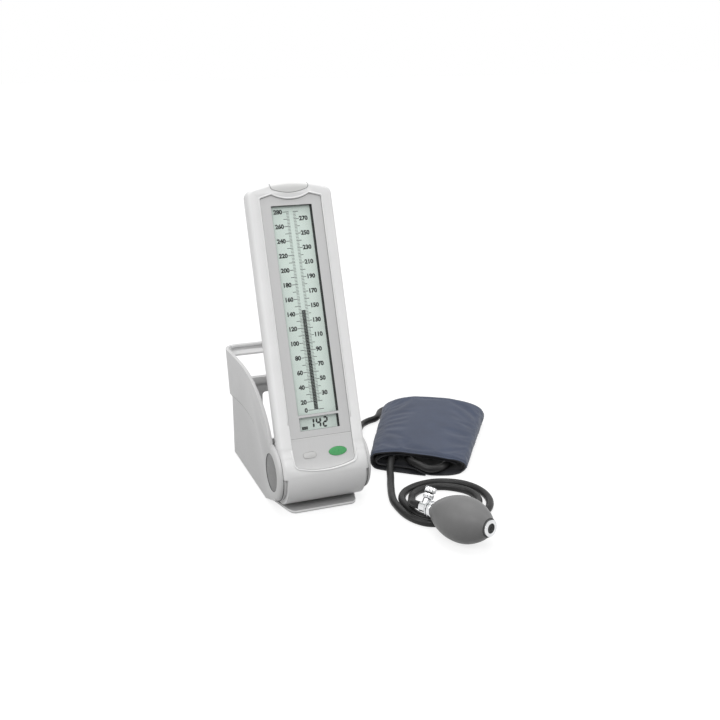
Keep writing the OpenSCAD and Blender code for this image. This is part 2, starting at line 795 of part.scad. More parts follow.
module battery_cells() {
    color([0.3, 0.3, 0.33]) column_frame() for (side = [-1, 1])
        translate([side * cell_x, -cell_w, tray_u0 + tray_end]) {
            cylinder(r = cell_d / 2 - 0.1, h = cell_l);
        }
}

module battery_door() {
    color(pale_c) column_frame() difference() {
        translate([0, 0, door_u0]) linear_extrude(door_u1 - door_u0)
            polygon([[door_half, -0.1], [door_half, -0.95], [door_half + door_lip, -0.95],
                [door_half + door_lip, -1.5], [-door_half - door_lip, -1.5], [-door_half - door_lip, -0.95],
                [-door_half, -0.95], [-door_half, -0.1]]);
        for (i = [0 : 3]) translate([-8, -0.5, door_u0 + 6 + 3 * i]) cube([16, 1, 1.2]);
    }
}

module screw(r, head_r, head_t, l) {
    translate([0, 0, -head_t]) difference() {
        cylinder(r = head_r, h = head_t);
        for (a = [0, 90]) rotate([0, 0, a]) translate([-head_r * 0.6, -0.3, -1])
            cube([head_r * 1.2, 0.6, 1.7]);
    }
    cylinder(r = r, h = l);
}

module face_screw(x, u, w, r, head_r, head_t, l) {
    translate([x, -w, u]) rotate([90, 0, 0]) screw(r, head_r, head_t, l);
}

module shell_screws() {
    color(steel_c) column_frame() both_sides() {
        for (u = shell_screw_us)
            face_screw(shell_screw_x, u, seam_w - 4, screw_r, screw_head_r, screw_head_t, 11);
        face_screw(hub_screw_x, hub_screw_u, -6, screw_r, screw_head_r, screw_head_t, 13);
    }
}

module board_screws() {
    color(steel_c) column_frame() {
        both_sides() for (u = ear_us)
            face_screw(ear_x, u, board_w, small_screw_r, small_head_r, small_head_t,
                front_wall_w - 0.4 - board_w);
        for (u = key_board_screw_us)
            face_screw(key_board_screw_x, u, key_board_w, small_screw_r, small_head_r, small_head_t,
                front_wall_w - 0.4 - key_board_w);
        for (x = sensor_post_xs) translate([x, -sensor_board_w - board_t, 0]) rotate([-90, 0, 0])
            screw(small_screw_r, small_head_r, small_head_t, board_t + 5);
    }
}

module mark_button() {
    color([0.9, 0.9, 0.9]) column_frame() {
        face(flange_w, fascia_w1 + key_proud) mark_2d();
        face(flange_w, front_wall_w - 0.02) mark_2d(flange_out);
    }
}

module count_button() {
    color([0.2, 0.55, 0.3]) column_frame() {
        face(flange_w, fascia_w1 + key_proud) count_2d();
        face(flange_w, front_wall_w - 0.02) count_2d(flange_out);
    }
}

module power_key() {
    color(white_c) column_frame() {
        difference() {
            intersection() {
                front_form();
                face(flange_w, far) power_2d();
            }
            face(0, front_wall_w) polygon(column_pts(shell_t + flange_t, 0));
        }
        intersection() {
            face(flange_w, front_wall_w - 0.02) power_2d(flange_out);
            face(0, far) polygon(column_pts(shell_t + 0.4, 0));
        }
    }
}

// Outline of a cheek in side view: the front curve, the top edge, the back and the flat foot
function bezier(p, t) = (1 - t) ^ 3 * p[0] + 3 * t * (1 - t) ^ 2 * p[1] + 3 * t ^ 2 * (1 - t) * p[2]
    + t ^ 3 * p[3];

// Point where a line from the cheek's foot touches the boss
foot_start = [24, floor_z];
foot_reach = norm([foot_start[0], hub_z - foot_start[1]]);
foot_touch_a = atan2(foot_start[1] - hub_z, foot_start[0]) - acos(boss_r / foot_reach);
module cheek_2d() {
    curve = [[2, hub_z + boss_r - 1], [11, hub_z + 51], [50, stand_h - 0.5], [110, stand_h]];
    polygon(concat(
        [[0, hub_z], [boss_r * cos(foot_touch_a), hub_z + boss_r * sin(foot_touch_a)], foot_start],
        [[stand_d - corner_r, floor_z], [stand_d - corner_r, stand_h], [110, stand_h]],
        [for (i = [15 : -1 : 0]) bezier(curve, i / 16)]));
}

// Extrudes a side view across the stand
module stand_side(x0, x1) {
    translate([x0, 0, 0]) rotate([90, 0, 90]) linear_extrude(x1 - x0) children();
}

// One side of the lower box in plan: the end of the cheek, the round corner and half the back wall
module lower_corner_2d() {
    c = [cheek_out - corner_r, stand_d - corner_r];
    polygon(concat(
        [[cheek_out, c[1] - 1]], arc_pts(c, corner_r, 0, 90, 8), [[0, stand_d]],
        [[0, stand_d - cheek_t]], arc_pts(c, corner_r - cheek_t, 90, 0, 8), [[cheek_in, c[1] - 1]]));
}

// One wing in plan, from its start on the cheek to its upright back edge
wing_c = [cheek_out + wing_proud - wing_r, wing_yr - wing_r];
wing_end_a = acos((wing_stop_x - wing_c[0]) / wing_r);
module wing_2d(t) {
    polygon(concat(
        [[cheek_out, wing_y0]], arc_pts(wing_c, wing_r, 0, wing_end_a, 10),
        arc_pts(wing_c, wing_r - t, wing_end_a, 0, 10), [[cheek_out - t, wing_y0]]));
}

// One half of a band of the handle in plan
module handle_2d(t) {
    inner_r = max(wing_r - t, 0.5);
    c = [wing_c[0], wing_yr - t - inner_r];
    polygon(concat(
        arc_pts(wing_c, wing_r, wing_end_a - 6, 90, 8), [[0, wing_yr], [0, wing_yr - t]],
        arc_pts(c, inner_r, 90, wing_end_a - 6, 8)));
}

// One half of the handle's lower lip in plan
module handle_lip_2d() {
    polygon(concat(
        arc_pts(wing_c, wing_r - 1, 0, 90, 8),
        [[0, wing_yr - 1], [0, wing_yr - 18], [wing_c[0] + wing_r - 1, wing_yr - 18]]));
}

// Extrudes a plan along the slant of the wings
module slanted() {
    translate([0, 0, wing_pivot_z]) rotate([-wing_slant, 0, 0]) translate([0, 0, -20])
        linear_extrude(140) children();
}

module handle_band(z0, z1) {
    intersection() {
        slanted() children();
        translate([0, 0, z0]) cube([far, far, z1 - z0]);
    }
}

// Floor of a wing behind the lower box
module shelf_2d() {
    low_y = wing_c[1] / cos(wing_slant) - (wing_pivot_z - crease_z) * tan(wing_slant);
    polygon(concat(
        [[cheek_in, stand_d - corner_r - 4], [cheek_out, stand_d - corner_r - 4]],
        arc_pts([wing_c[0], low_y], wing_r, 0, wing_end_a, 10),
        [[wing_stop_x, stand_d - cheek_t]]));
}

// Side view that trims the wings: their top edge and their round lower back edge
module wing_trim_2d() {
    polygon([[wing_y0, crease_z], [stand_d + 14, crease_z], [stand_d + 20, crease_z + 2],
        [stand_d + 24, crease_z + 6], [stand_d + 60, stand_h], [handle_yr + 6, handle_z1], [110, stand_h],
        [wing_y0, stand_h]]);
}

module cheek_ring() {
    rotate([0, 90, 0]) rotate_extrude($fn = 96) polygon([[0, boss_in], [boss_r, boss_in],
        [boss_r, cheek_out - ring_edge], [boss_r - 0.5, cheek_out - ring_edge * 0.55],
        [boss_r - 1.8, cheek_out - ring_edge * 0.2], [boss_r - 4, cheek_out], [0, cheek_out]]);
}

module stand_half() {
    difference() {
        union() {
            stand_side(cheek_in, cheek_out) cheek_2d();
            translate([0, 0, hub_z]) cheek_ring();
            translate([0, 0, floor_z]) linear_extrude(crease_z + shelf_t - floor_z) lower_corner_2d();
            translate([0, stand_d - cheek_t, floor_z])
                cube([cheek_in + 0.5, cheek_t, back_wall_z - floor_z]);
            translate([0, stand_d - cheek_t - lip_d, back_wall_z - lip_h])
                cube([cheek_in + 0.5, lip_d + 1, lip_h]);
            intersection() {
                union() {
                    slanted() wing_2d(cheek_t);
                    translate([0, 0, crease_z]) linear_extrude(shelf_t) shelf_2d();
                }
                stand_side(0, far) wing_trim_2d();
            }
            handle_band(handle_z0, handle_z1) handle_2d(2.4);
            handle_band(handle_z1 - 2.2, handle_z1) handle_2d(5);
            handle_band(handle_z0, handle_z0 + 2) handle_lip_2d();
            for (y = base_boss_ys) {
                translate([base_boss_x, y, floor_z + base_t]) cylinder(r = base_boss_r, h = base_boss_h);
                translate([base_boss_x, y - base_boss_r, floor_z + base_t])
                    cube([cheek_in - base_boss_x + 0.5, 2 * base_boss_r, base_boss_h]);
            }
        }
        translate([0, 0, hub_z]) {
            hub_rod(cap_r + cap_gap, cap_floor, far);
            hub_rod(stub_r, boss_in - 1, far);
            for (a = [90, 210, 330]) rotate([a, 0, 0]) translate([0, 0, stub_screw_at])
                hub_rod(1 + pilot_clear, boss_in + 0.4, far);
        }
        for (y = base_boss_ys)
            translate([base_boss_x, y, 0]) cylinder(r = screw_r + pilot_clear, h = floor_z + base_t + 7);
    }
}

// The line from the port up to the tilt axis, seen from the right cheek
module tube_frame() {
    translate([0, 0, hub_z]) rotate([-tube_slope, 0, 0]) children();
}

module tube_path(r, y1, x0) {
    translate([tube_x, elbow_r, 0]) rotate([-90, 0, 0]) cylinder(r = r, h = y1 - elbow_r);
    translate([tube_x - elbow_r, elbow_r, 0]) rotate([0, 0, -90]) rotate_extrude(angle = 90)
        translate([elbow_r, 0]) circle(r = r);
    translate([x0, 0, 0]) rotate([0, 90, 0]) cylinder(r = r, h = tube_x - elbow_r - x0);
}

module stand_frame() {
    color(pale_c) difference() {
        union() {
            stand_half();
            mirror([1, 0, 0]) stand_half();
        }
        translate([0, stand_d - cheek_t / 2, (slot_z0 + slot_z1) / 2]) rotate([90, 0, 0])
            translate([0, 0, -10]) linear_extrude(20)
                polygon(rounded_pts(2 * slot_half, slot_z1 - slot_z0, 4));
        tube_frame() translate([tube_x, 0, 0]) rotate([-90, 0, 0])
            cylinder(r = tube_r + channel_clear, h = boss_r + 6);
        translate([cheek_in - 1, port_y, port_z]) rotate([0, 90, 0]) cylinder(r = 4, h = 10);
    }
}

module base_plate() {
    color(silver_c) difference() {
        translate([0, 0, floor_z]) linear_extrude(base_t) polygon([[plate_half - plate_cut, base_y1],
            [plate_half, base_y1 - plate_cut], [plate_half, 24],
            [41.7, 8], [38.9, -4], [36, -15], [33.6, -19.6], [30.4, foot_y], [-30.4, foot_y], [-33.6, -19.6],
            [-36, -15], [-38.9, -4], [-41.7, 8], [-plate_half, 24],
            [-plate_half, base_y1 - plate_cut], [plate_cut - plate_half, base_y1]]);
        both_sides() for (y = base_boss_ys) translate([base_boss_x, y, 0]) {
            cylinder(r = screw_r + screw_clear, h = 10);
            cylinder(r = screw_head_r + 0.2, h = floor_z + screw_head_t);
        }
    }
}

module base_screws() {
    color(steel_c) both_sides() for (y = base_boss_ys)
        translate([base_boss_x, y, floor_z + screw_head_t]) screw(screw_r, screw_head_r, screw_head_t, 7);
}

module rubber_feet() {
    color(dark_c) {
        linear_extrude(foot_h) polygon(rounded_pts(60, 20, 4));
        for (x = [-30, 30]) translate([x, stand_d - 22, 0]) linear_extrude(foot_h)
            polygon(rounded_pts(20, 14, 4));
    }
}

module hub_cap() {
    top = cheek_out + cap_proud;
    translate([0, 0, hub_z]) rotate([0, 90, 0]) rotate_extrude($fn = 96)
        polygon([[0, top - 1.2], [cap_r - 2, top - 1.2], [cap_r - 2, cap_floor], [cap_r, cap_floor],
            [cap_r, top - 0.5], [cap_r - 0.5, top], [0, top]]);
}

module hub_cap_left() {
    color(grey_c) mirror([1, 0, 0]) hub_cap();
}

module hub_cap_right() {
    color(grey_c) difference() {
        hub_cap();
        tube_frame() translate([tube_x, 0, 0]) rotate([-90, 0, 0])
            cylinder(r = tube_r + channel_clear, h = boss_r + 6);
    }
}

module stub_form() {
    difference() {
        translate([0, 0, hub_z]) {
            hub_rod(stub_r, stub_end, cap_floor + 0.5);
            hub_rod(flange_r, cap_floor, cap_floor + stub_flange_t);
        }
        translate([0, 0, hub_z]) for (a = [90, 210, 330]) rotate([a, 0, 0]) translate([0, 0, stub_screw_at])
            hub_rod(1 + screw_clear, cap_floor - 1, far);
    }
}

module pivot_stub_left() {
    color(steel_c) mirror([1, 0, 0]) stub_form();
}

module pivot_stub_right() {
    color(steel_c) difference() {
        stub_form();
        translate([0, 0, hub_z]) hub_rod(stub_bore_r, stub_end - 1, tube_x - elbow_r);
        tube_frame() tube_path(tube_r + channel_clear, far, stub_end - 1);
    }
}

module friction_washers() {
    color(dark_c) both_sides() translate([0, 0, hub_z]) difference() {
        hub_rod(washer_r, hub_half + washer_play, boss_in - washer_play);
        hub_rod(stub_r + 0.1, hub_half - 1, boss_in + 1);
    }
}

module pivot_screws() {
    color(steel_c) both_sides() translate([0, 0, hub_z]) for (a = [90, 210, 330]) rotate([a, 0, 0])
        translate([cap_floor + stub_flange_t, 0, stub_screw_at]) rotate([0, -90, 0])
            screw(1, 1.9, 1.1, stub_flange_t + 2.2);
}

module air_port() {
    color(steel_c) {
        difference() {
            translate([cheek_in - 6, port_y - port_half, port_z - port_half])
                cube([6, 2 * port_half, 2 * port_half]);
            tube_frame() translate([tube_x - 3, tube_run - port_half - 6, -3]) cube([6, 6, 6]);
        }
        translate([cheek_in - 1, port_y, port_z]) rotate([0, 90, 0]) {
            cylinder(r = 4, h = cheek_t + nut_t + 1.5);
            cylinder(r = barb_r - 0.5, h = barb_end - cheek_in + 1);
            for (i = [0 : 2]) translate([0, 0, cheek_t + nut_t + 4 + 2.6 * i])
                cylinder(r1 = barb_r, r2 = barb_r - 0.6, h = 2.2);
        }
        tube_frame() translate([tube_x, tube_run - port_half - nipple_len, 0]) rotate([-90, 0, 0])
            cylinder(r = nipple_r, h = nipple_len + 1);
    }
}

module port_nut() {
    color(steel_c) translate([cheek_out, port_y, port_z]) rotate([0, 90, 0]) difference() {
        cylinder(r = 6.4, h = nut_t, $fn = 6);
        translate([0, 0, -1]) cylinder(r = 4.02, h = nut_t + 2);
    }
}

module air_tube() {
    color([0.85, 0.85, 0.8]) tube_frame() difference() {
        tube_path(tube_r, tube_run - port_half, tube_tip_x);
        tube_path(tube_bore_r, tube_run, tube_tip_x - 1);
    }
}

module tube_clips() {
    color(white_c) tube_frame() for (y = clip_places) translate([tube_x, y, 0]) difference() {
        translate([-tube_r - clip_wall, 0, -tube_r - clip_wall])
            cube([cheek_in - tube_x + tube_r + clip_wall, clip_w, 2 * (tube_r + clip_wall)]);
        translate([0, -1, 0]) rotate([-90, 0, 0]) cylinder(r = tube_r + 0.05, h = clip_w + 2);
    }
}

// Cuff: a point on the roll at a row of its line, a place along its axis and an offset from the middle
function cuff_flat(i, k) = [cuff_line[i][0] * (cuff_mouth + (cuff_back - cuff_mouth) * k) / cuff_half_ref,
    cuff_line[i][1] + (cuff_line[i][2] - cuff_line[i][1]) * k];
function cuff_dir(i, k) = let (n = len(cuff_line) - 1)
    unit(unit(cuff_flat(min(i + 1, n), k) - cuff_flat(min(i, n - 1), k))
        + unit(cuff_flat(max(i, 1), k) - cuff_flat(max(i - 1, 0), k)));
function cuff_point(i, b, off) = let (k = b / cuff_b, p = cuff_flat(i, k), d = cuff_dir(i, k),
    q = p + off * [-d[1], d[0]])
    [cuff_at[0] + q[0] * cuff_across[0] + b * cuff_along[0],
        cuff_at[1] + q[0] * cuff_across[1] + b * cuff_along[1], q[1]];

// Sweeps a ring of points per station into one solid, with flat ends cut into the given triangles
// The last side of each ring can be cut along its other diagonal
module swept(rings, caps, turn_last = false) {
    n = len(rings[0]);
    m = len(rings);
    polyhedron(points = [for (r = rings) for (p = r) p],
        faces = concat(
            [for (j = [0 : m - 2]) for (i = [0 : n - 1]) let (a = j * n + i, b = j * n + (i + 1) % n)
                each turn_last && i == n - 1 ? [[a, a + n, b], [a + n, b + n, b]]
                    : [[a, b + n, b], [a, a + n, b + n]]],
            [for (c = caps) [c[0], c[1], c[2]]],
            [for (c = caps) [(m - 1) * n + c[2], (m - 1) * n + c[1], (m - 1) * n + c[0]]]));
}

module cuff_layer(first, last, b0, b1, off0, off1) {
    swept([for (i = [first : last]) [cuff_point(i, b0, off0), cuff_point(i, b0, off1),
        cuff_point(i, b1, off1), cuff_point(i, b1, off0)]], [[0, 1, 2], [0, 2, 3]], true);
}

module cuff_cover() {
    inner = -bladder_t / 2 - ply_gap + 0.05;
    skin = bladder_t / 2 + ply_gap;
    color(cloth_c) swept([for (i = [0 : len(cuff_line) - 1]) [cuff_point(i, 0, strip_half),
        cuff_point(i, 0, inner), cuff_point(i, cuff_hem, inner), cuff_point(i, cuff_hem, skin),
        cuff_point(i, cuff_b - cuff_hem, skin), cuff_point(i, cuff_b - cuff_hem, inner),
        cuff_point(i, cuff_b, inner), cuff_point(i, cuff_b, strip_half)]],
        [[0, 1, 2], [0, 2, 3], [0, 3, 7], [3, 4, 7], [4, 6, 7], [4, 5, 6]], true);
}

module cuff_lining() {
    color([0.2, 0.22, 0.26])
        cuff_layer(0, len(cuff_line) - 1, 0, cuff_b, -bladder_t / 2 - ply_gap, -strip_half);
}

module cuff_bladder() {
    color(dark_c) cuff_layer(9, 29, cuff_hem + 3, cuff_b - cuff_hem - 3, bladder_t / 2, -bladder_t / 2);
}

// Maps the cuff's own lateral, axial and upward lengths onto the table
module cuff_frame() {
    translate([cuff_at[0], cuff_at[1], 0]) rotate([0, 0, atan2(cuff_across[1], cuff_across[0])]) children();
}

module hook_patch() {
    color([0.15, 0.16, 0.18]) cuff_frame() translate([hook_ends[0], 12, strip_full])
        cube([hook_ends[1] - hook_ends[0], cuff_b - 24, 0.6]);
}

// A flanged elbow on the bladder at the end of a hose, which points along the hose's end
module bladder_nipple(at, back) {
    d = unit(at - back);
    translate([at[0], at[1], 0]) rotate([0, 0, atan2(d[1], d[0])]) {
        translate([4, 0, lay2 + strip_half + 0.05]) cylinder(r = 6.5, h = 0.3);
        translate([0, -3, lay2 + strip_half + 0.2]) cube([8, 6, at[2] + 3 - lay2 - strip_half - 0.2]);
        translate([1, 0, at[2]]) rotate([0, -90, 0]) cylinder(r = 2.4, h = 7);
    }
}

module bladder_nipples() {
    n = len(gauge_route) - 1;
    color(dark_c) {
        bladder_nipple(gauge_route[n], gauge_route[n - 1]);
        bladder_nipple(bulb_route[0], bulb_route[1]);
    }
}

// A ring of points square to a hose at one point of its route
function route_dir(route, i) = let (n = len(route) - 1)
    unit(unit(route[min(i + 1, n)] - route[min(i, n - 1)]) + unit(route[max(i, 1)] - route[max(i - 1, 0)]));
function hose_ring(route, i, sides) = let (d = route_dir(route, i), s = unit(cross(d, [0, 0, 1])),
    up = cross(s, d)) [for (k = [0 : sides - 1]) let (a = 360 * (k + 0.5) / sides)
    route[i] + hose_r * (cos(a) * s + sin(a) * up)];

module hose(route) {
    sides = 10;
    swept([for (i = [0 : len(route) - 1]) hose_ring(route, i, sides)],
        [for (k = [1 : sides - 2]) [0, k, k + 1]]);
}

module gauge_hose() {
    color(dark_c) hose(gauge_route);
}

module bulb_hose() {
    color(dark_c) hose(bulb_route);
}

module bulb_frame() {
    translate(bulb_at) rotate([0, 90 - bulb_el, bulb_az]) children();
}

// Radius of the bulb's outside at places along it, from the neck to the end ring
bulb_shape = [[0, 0.33], [0.04, 0.385], [0.09, 0.475], [0.14, 0.57], [0.2, 0.68], [0.28, 0.81], [0.37, 0.92],
    [0.46, 0.982], [0.54, 1], [0.63, 0.985], [0.72, 0.925], [0.8, 0.83], [0.87, 0.715], [0.93, 0.585],
    [0.97, 0.475], [1, 0.37]];
module rubber_bulb() {
    color(grey_c) bulb_frame() rotate_extrude() polygon(concat(
        [for (p = bulb_shape) [p[1] * bulb_r, p[0] * bulb_l]],
        [[plug_r, bulb_l], [plug_r, 0.93 * bulb_l]],
        [for (i = [12 : -1 : 3]) [bulb_shape[i][1] * bulb_r - bulb_wall, bulb_shape[i][0] * bulb_l]],
        [[plug_r, 0.1 * bulb_l], [plug_r, 0]]));
}

module bulb_end_ring() {
    color(steel_c) bulb_frame() translate([0, 0, bulb_l]) difference() {
        cylinder(r = 8.2, h = 2);
        translate([0, 0, -1]) cylinder(r = plug_r, h = 4);
    }
}

module intake_valve() {
    color(dark_c) bulb_frame() translate([0, 0, bulb_l - 6]) difference() {
        cylinder(r = plug_r - 0.02, h = 7);
        translate([0, 0, -1]) cylinder(r = 1.6, h = 9);
    }
}

module neck_ring() {
    color(steel_c) bulb_frame() translate([0, 0, -2]) difference() {
        cylinder(r = neck_r + 0.6, h = 2);
        translate([0, 0, -1]) cylinder(r = plug_r, h = 4);
    }
}

// Points a screw out of the side of the valve
module valve_side() {
    bulb_frame() translate([0, 0, valve_mid]) rotate([0, 0, screw_turn]) rotate([0, 90, 0]) children();
}

module valve_body() {
    color(steel_c) difference() {
        union() {
            bulb_frame() {
                translate([0, 0, -2]) cylinder(r = plug_r - 0.02, h = 9);
                translate([0, 0, -11]) cylinder(r = valve_r, h = 9);
                translate([0, 0, -20]) cylinder(r = 2.6, h = 10);
                translate([0, 0, -13.6]) cylinder(r1 = 3, r2 = 3.8, h = 2.6);
            }
            valve_side() cylinder(r = 4.2, h = 8.4);
        }
        valve_side() translate([0, 0, 2]) cylinder(r = stem_r + stem_play, h = 10);
        bulb_frame() translate([0, 0, -1.5]) cylinder(r = 1.5, h = 20);
    }
}

module valve_packing() {
    color(dark_c) valve_side() translate([0, 0, 8.4]) difference() {
        cylinder(r = 3.8, h = 0.6);
        translate([0, 0, -1]) cylinder(r = stem_r + stem_play, h = 3);
    }
}

module knurled(r, h) {
    difference() {
        cylinder(r = r, h = h);
        for (a = [0 : 20 : 340]) rotate([0, 0, a]) translate([r, 0, -1]) rotate([0, 0, 45])
            cube([0.5, 0.5, 2 * h + 4], center = true);
    }
}

module release_screw() {
    color(steel_c) valve_side() {
        translate([0, 0, 2.2]) cylinder(r = stem_r, h = 14);
        translate([0, 0, 9.2]) knurled(4.8, 4.6);
        translate([0, 0, 13.6]) cylinder(r = 3.4, h = 2);
        translate([0, 0, 15.4]) knurled(5, 5);
    }
}

stand_frame();
base_plate();
rubber_feet();
hub_cap_left();
hub_cap_right();
pivot_stub_left();
pivot_stub_right();
friction_washers();
pivot_screws();
base_screws();
air_port();
port_nut();
air_tube();
tube_clips();
cuff_cover();
cuff_lining();
cuff_bladder();
hook_patch();
bladder_nipples();
gauge_hose();
bulb_hose();
rubber_bulb();
bulb_end_ring();
intake_valve();
neck_ring();
valve_body();
valve_packing();
release_screw();
front_shell();
rear_shell();
display_fascia();
key_fascia();
display_lens();
scale_display();
digit_display();
display_frame();
contact_strips();
main_board();
board_parts();
key_board();
key_switches();
buzzer();
sensor_board();
pressure_sensor();
battery_tray();
battery_contacts();
battery_cells();
battery_door();
shell_screws();
board_screws();
mark_button();
count_button();
power_key();
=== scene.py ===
"""Looks of a desk blood pressure gauge: display column, stand, rolled cuff, hoses and squeeze bulb."""

from __future__ import annotations

import json
import logging
import math
from dataclasses import dataclass, field
from enum import Enum
from typing import Iterable, Sequence

import bmesh
import bpy
from mathutils import Matrix, Vector, noise

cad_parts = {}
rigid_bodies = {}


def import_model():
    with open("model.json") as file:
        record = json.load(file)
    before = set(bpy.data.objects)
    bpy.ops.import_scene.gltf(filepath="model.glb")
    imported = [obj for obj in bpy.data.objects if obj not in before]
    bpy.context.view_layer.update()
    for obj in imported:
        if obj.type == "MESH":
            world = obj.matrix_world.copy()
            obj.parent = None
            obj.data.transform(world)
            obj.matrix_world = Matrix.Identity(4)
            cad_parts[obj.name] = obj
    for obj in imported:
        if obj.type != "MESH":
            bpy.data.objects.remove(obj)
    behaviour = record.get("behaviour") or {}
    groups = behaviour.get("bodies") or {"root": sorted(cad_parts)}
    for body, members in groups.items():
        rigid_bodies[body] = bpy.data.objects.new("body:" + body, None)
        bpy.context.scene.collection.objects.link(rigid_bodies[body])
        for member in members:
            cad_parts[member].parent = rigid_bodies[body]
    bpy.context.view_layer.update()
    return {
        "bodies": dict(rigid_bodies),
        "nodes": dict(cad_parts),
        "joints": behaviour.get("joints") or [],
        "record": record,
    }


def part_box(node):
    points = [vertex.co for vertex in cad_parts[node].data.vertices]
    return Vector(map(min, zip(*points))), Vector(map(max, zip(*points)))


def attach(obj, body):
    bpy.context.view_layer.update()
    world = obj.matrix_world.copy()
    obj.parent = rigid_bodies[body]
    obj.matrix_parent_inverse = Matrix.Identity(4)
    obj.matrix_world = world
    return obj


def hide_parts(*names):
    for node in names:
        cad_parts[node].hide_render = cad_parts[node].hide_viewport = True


LOG = logging.getLogger("gauge")
MM = 0.001

Flat = tuple[float, float]
Point = tuple[float, float, float]
Shade = tuple[float, float, float]
Piece = bpy.types.Object
Socket = bpy.types.NodeSocket
Line = Sequence[Vector]


def screen(*levels: float) -> Shade:
    """Turns a screen colour of 0 to 255, or one level of grey, into linear light."""
    shares = [level / 255.0 for level in (levels * 3)[:3]]
    return tuple(v / 12.92 if v <= 0.04045 else ((v + 0.055) / 1.055) ** 2.4 for v in shares)


class Body(Enum):
    """The moving bodies that a piece can ride on."""

    STAND = "stand"
    COLUMN = "column"
    MARK_BUTTON = "mark_button"
    COUNT_BUTTON = "count_button"
    POWER_KEY = "power_key"
    BATTERY_DOOR = "battery_door"
    RELEASE_SCREW = "release_screw"


# Node trees


class NodeSheet:
    """A node tree and short calls that add to it."""

    def __init__(self, tree: bpy.types.NodeTree) -> None:
        """Takes a tree and empties it."""
        self.tree = tree
        tree.nodes.clear()

    def add(self, kind: str, values: dict[str | int, object] | None = None,
            **props: object) -> bpy.types.Node:
        """Adds a node.

        Args:
            kind: Its type.
            values: Values or sockets for its inputs, by name or number.
            props: Its properties.

        Returns:
            The node.
        """
        node = self.tree.nodes.new(kind)
        for key, value in props.items():
            setattr(node, key, value)
        for key, value in (values or {}).items():
            if isinstance(value, Socket):
                self.tree.links.new(value, node.inputs[key])
            else:
                node.inputs[key].default_value = value
        return node

    def maths(self, kind: str, first: Socket, second: Socket | float = 0.0) -> Socket:
        """Result of one Math node."""
        return self.add("ShaderNodeMath", {0: first, 1: second}, operation=kind).outputs[0]

    def seen(self) -> Socket:
        """1 for camera, glossy and transmission rays, 0 for all others.

        Returns:
            The factor.
        """
        rays = self.add("ShaderNodeLightPath").outputs
        glossy = self.maths("MAXIMUM", rays["Is Camera Ray"], rays["Is Glossy Ray"])
        return self.maths("MAXIMUM", glossy, rays["Is Transmission Ray"])


class ShaderSheet(NodeSheet):
    """A material with one Principled shader."""

    def __init__(self, name: str, **values: float | Sequence[float]) -> None:
        """Starts a material.

        Args:
            name: The material's name.
            values: Values for the shader's sockets, with underscores for spaces.
        """
        self.material = bpy.data.materials.new(name)
        self.material.use_nodes = True
        super().__init__(self.material.node_tree)
        sockets = {key.replace("_", " "): value for key, value in values.items()}
        self.surface = self.add("ShaderNodeBsdfPrincipled", sockets)
        self.add("ShaderNodeOutputMaterial", {"Surface": self.surface.outputs[0]})
        self.here = self.add("ShaderNodeTexCoord").outputs["Object"]

    def feed(self, source: Socket, socket: str) -> None:
        """Links a value to one of the shader's sockets."""
        self.tree.links.new(source, self.surface.inputs[socket])

    def cloud(self, scale: float, detail: float = 3.0, rough: float = 0.5,
              place: Socket | None = None) -> Socket:
        """Noise with a number of bumps per metre, in object coordinates or at a place."""
        values = {"Scale": scale, "Detail": detail, "Roughness": rough, "Vector": place or self.here}
        return self.add("ShaderNodeTexNoise", values).outputs["Fac"]

    def spread(self, source: Socket, low: float, high: float, start: float = 0.3,
               end: float = 0.7) -> Socket:
        """Maps a factor that runs from start to end onto low to high."""
        return self.add("ShaderNodeMapRange", {"Value": source, "From Min": start, "From Max": end,
                                               "To Min": low, "To Max": high}).outputs["Result"]

    def tint(self, source: Socket, first: Shade, last: Shade, start: float = 0.3,
             end: float = 0.7) -> Socket:
        """Runs between two colours by a factor.

        Args:
            source: The factor.
            first: Colour at its start.
            last: Colour at its end.
            start: Factor of the first colour.
            end: Factor of the last.

        Returns:
            The colour.
        """
        ramp = self.add("ShaderNodeValToRGB", {"Fac": source})
        for stop, where, shade in zip(ramp.color_ramp.elements, (start, end), (first, last)):
            stop.position, stop.color = where, (*shade, 1)
        return ramp.outputs["Color"]

    def bump(self, height: Socket, strength: float, depth: float) -> None:
        """Raises the surface's shading, on top of earlier bumps.

        Args:
            height: The height, from 0 to 1.
            strength: How strongly it shows.
            depth: The height of 1, in metres.
        """
        values = {"Strength": strength, "Distance": depth, "Height": height}
        before = self.surface.inputs["Normal"]
        if before.is_linked:
            values["Normal"] = before.links[0].from_socket
        self.feed(self.add("ShaderNodeBump", values).outputs["Normal"], "Normal")


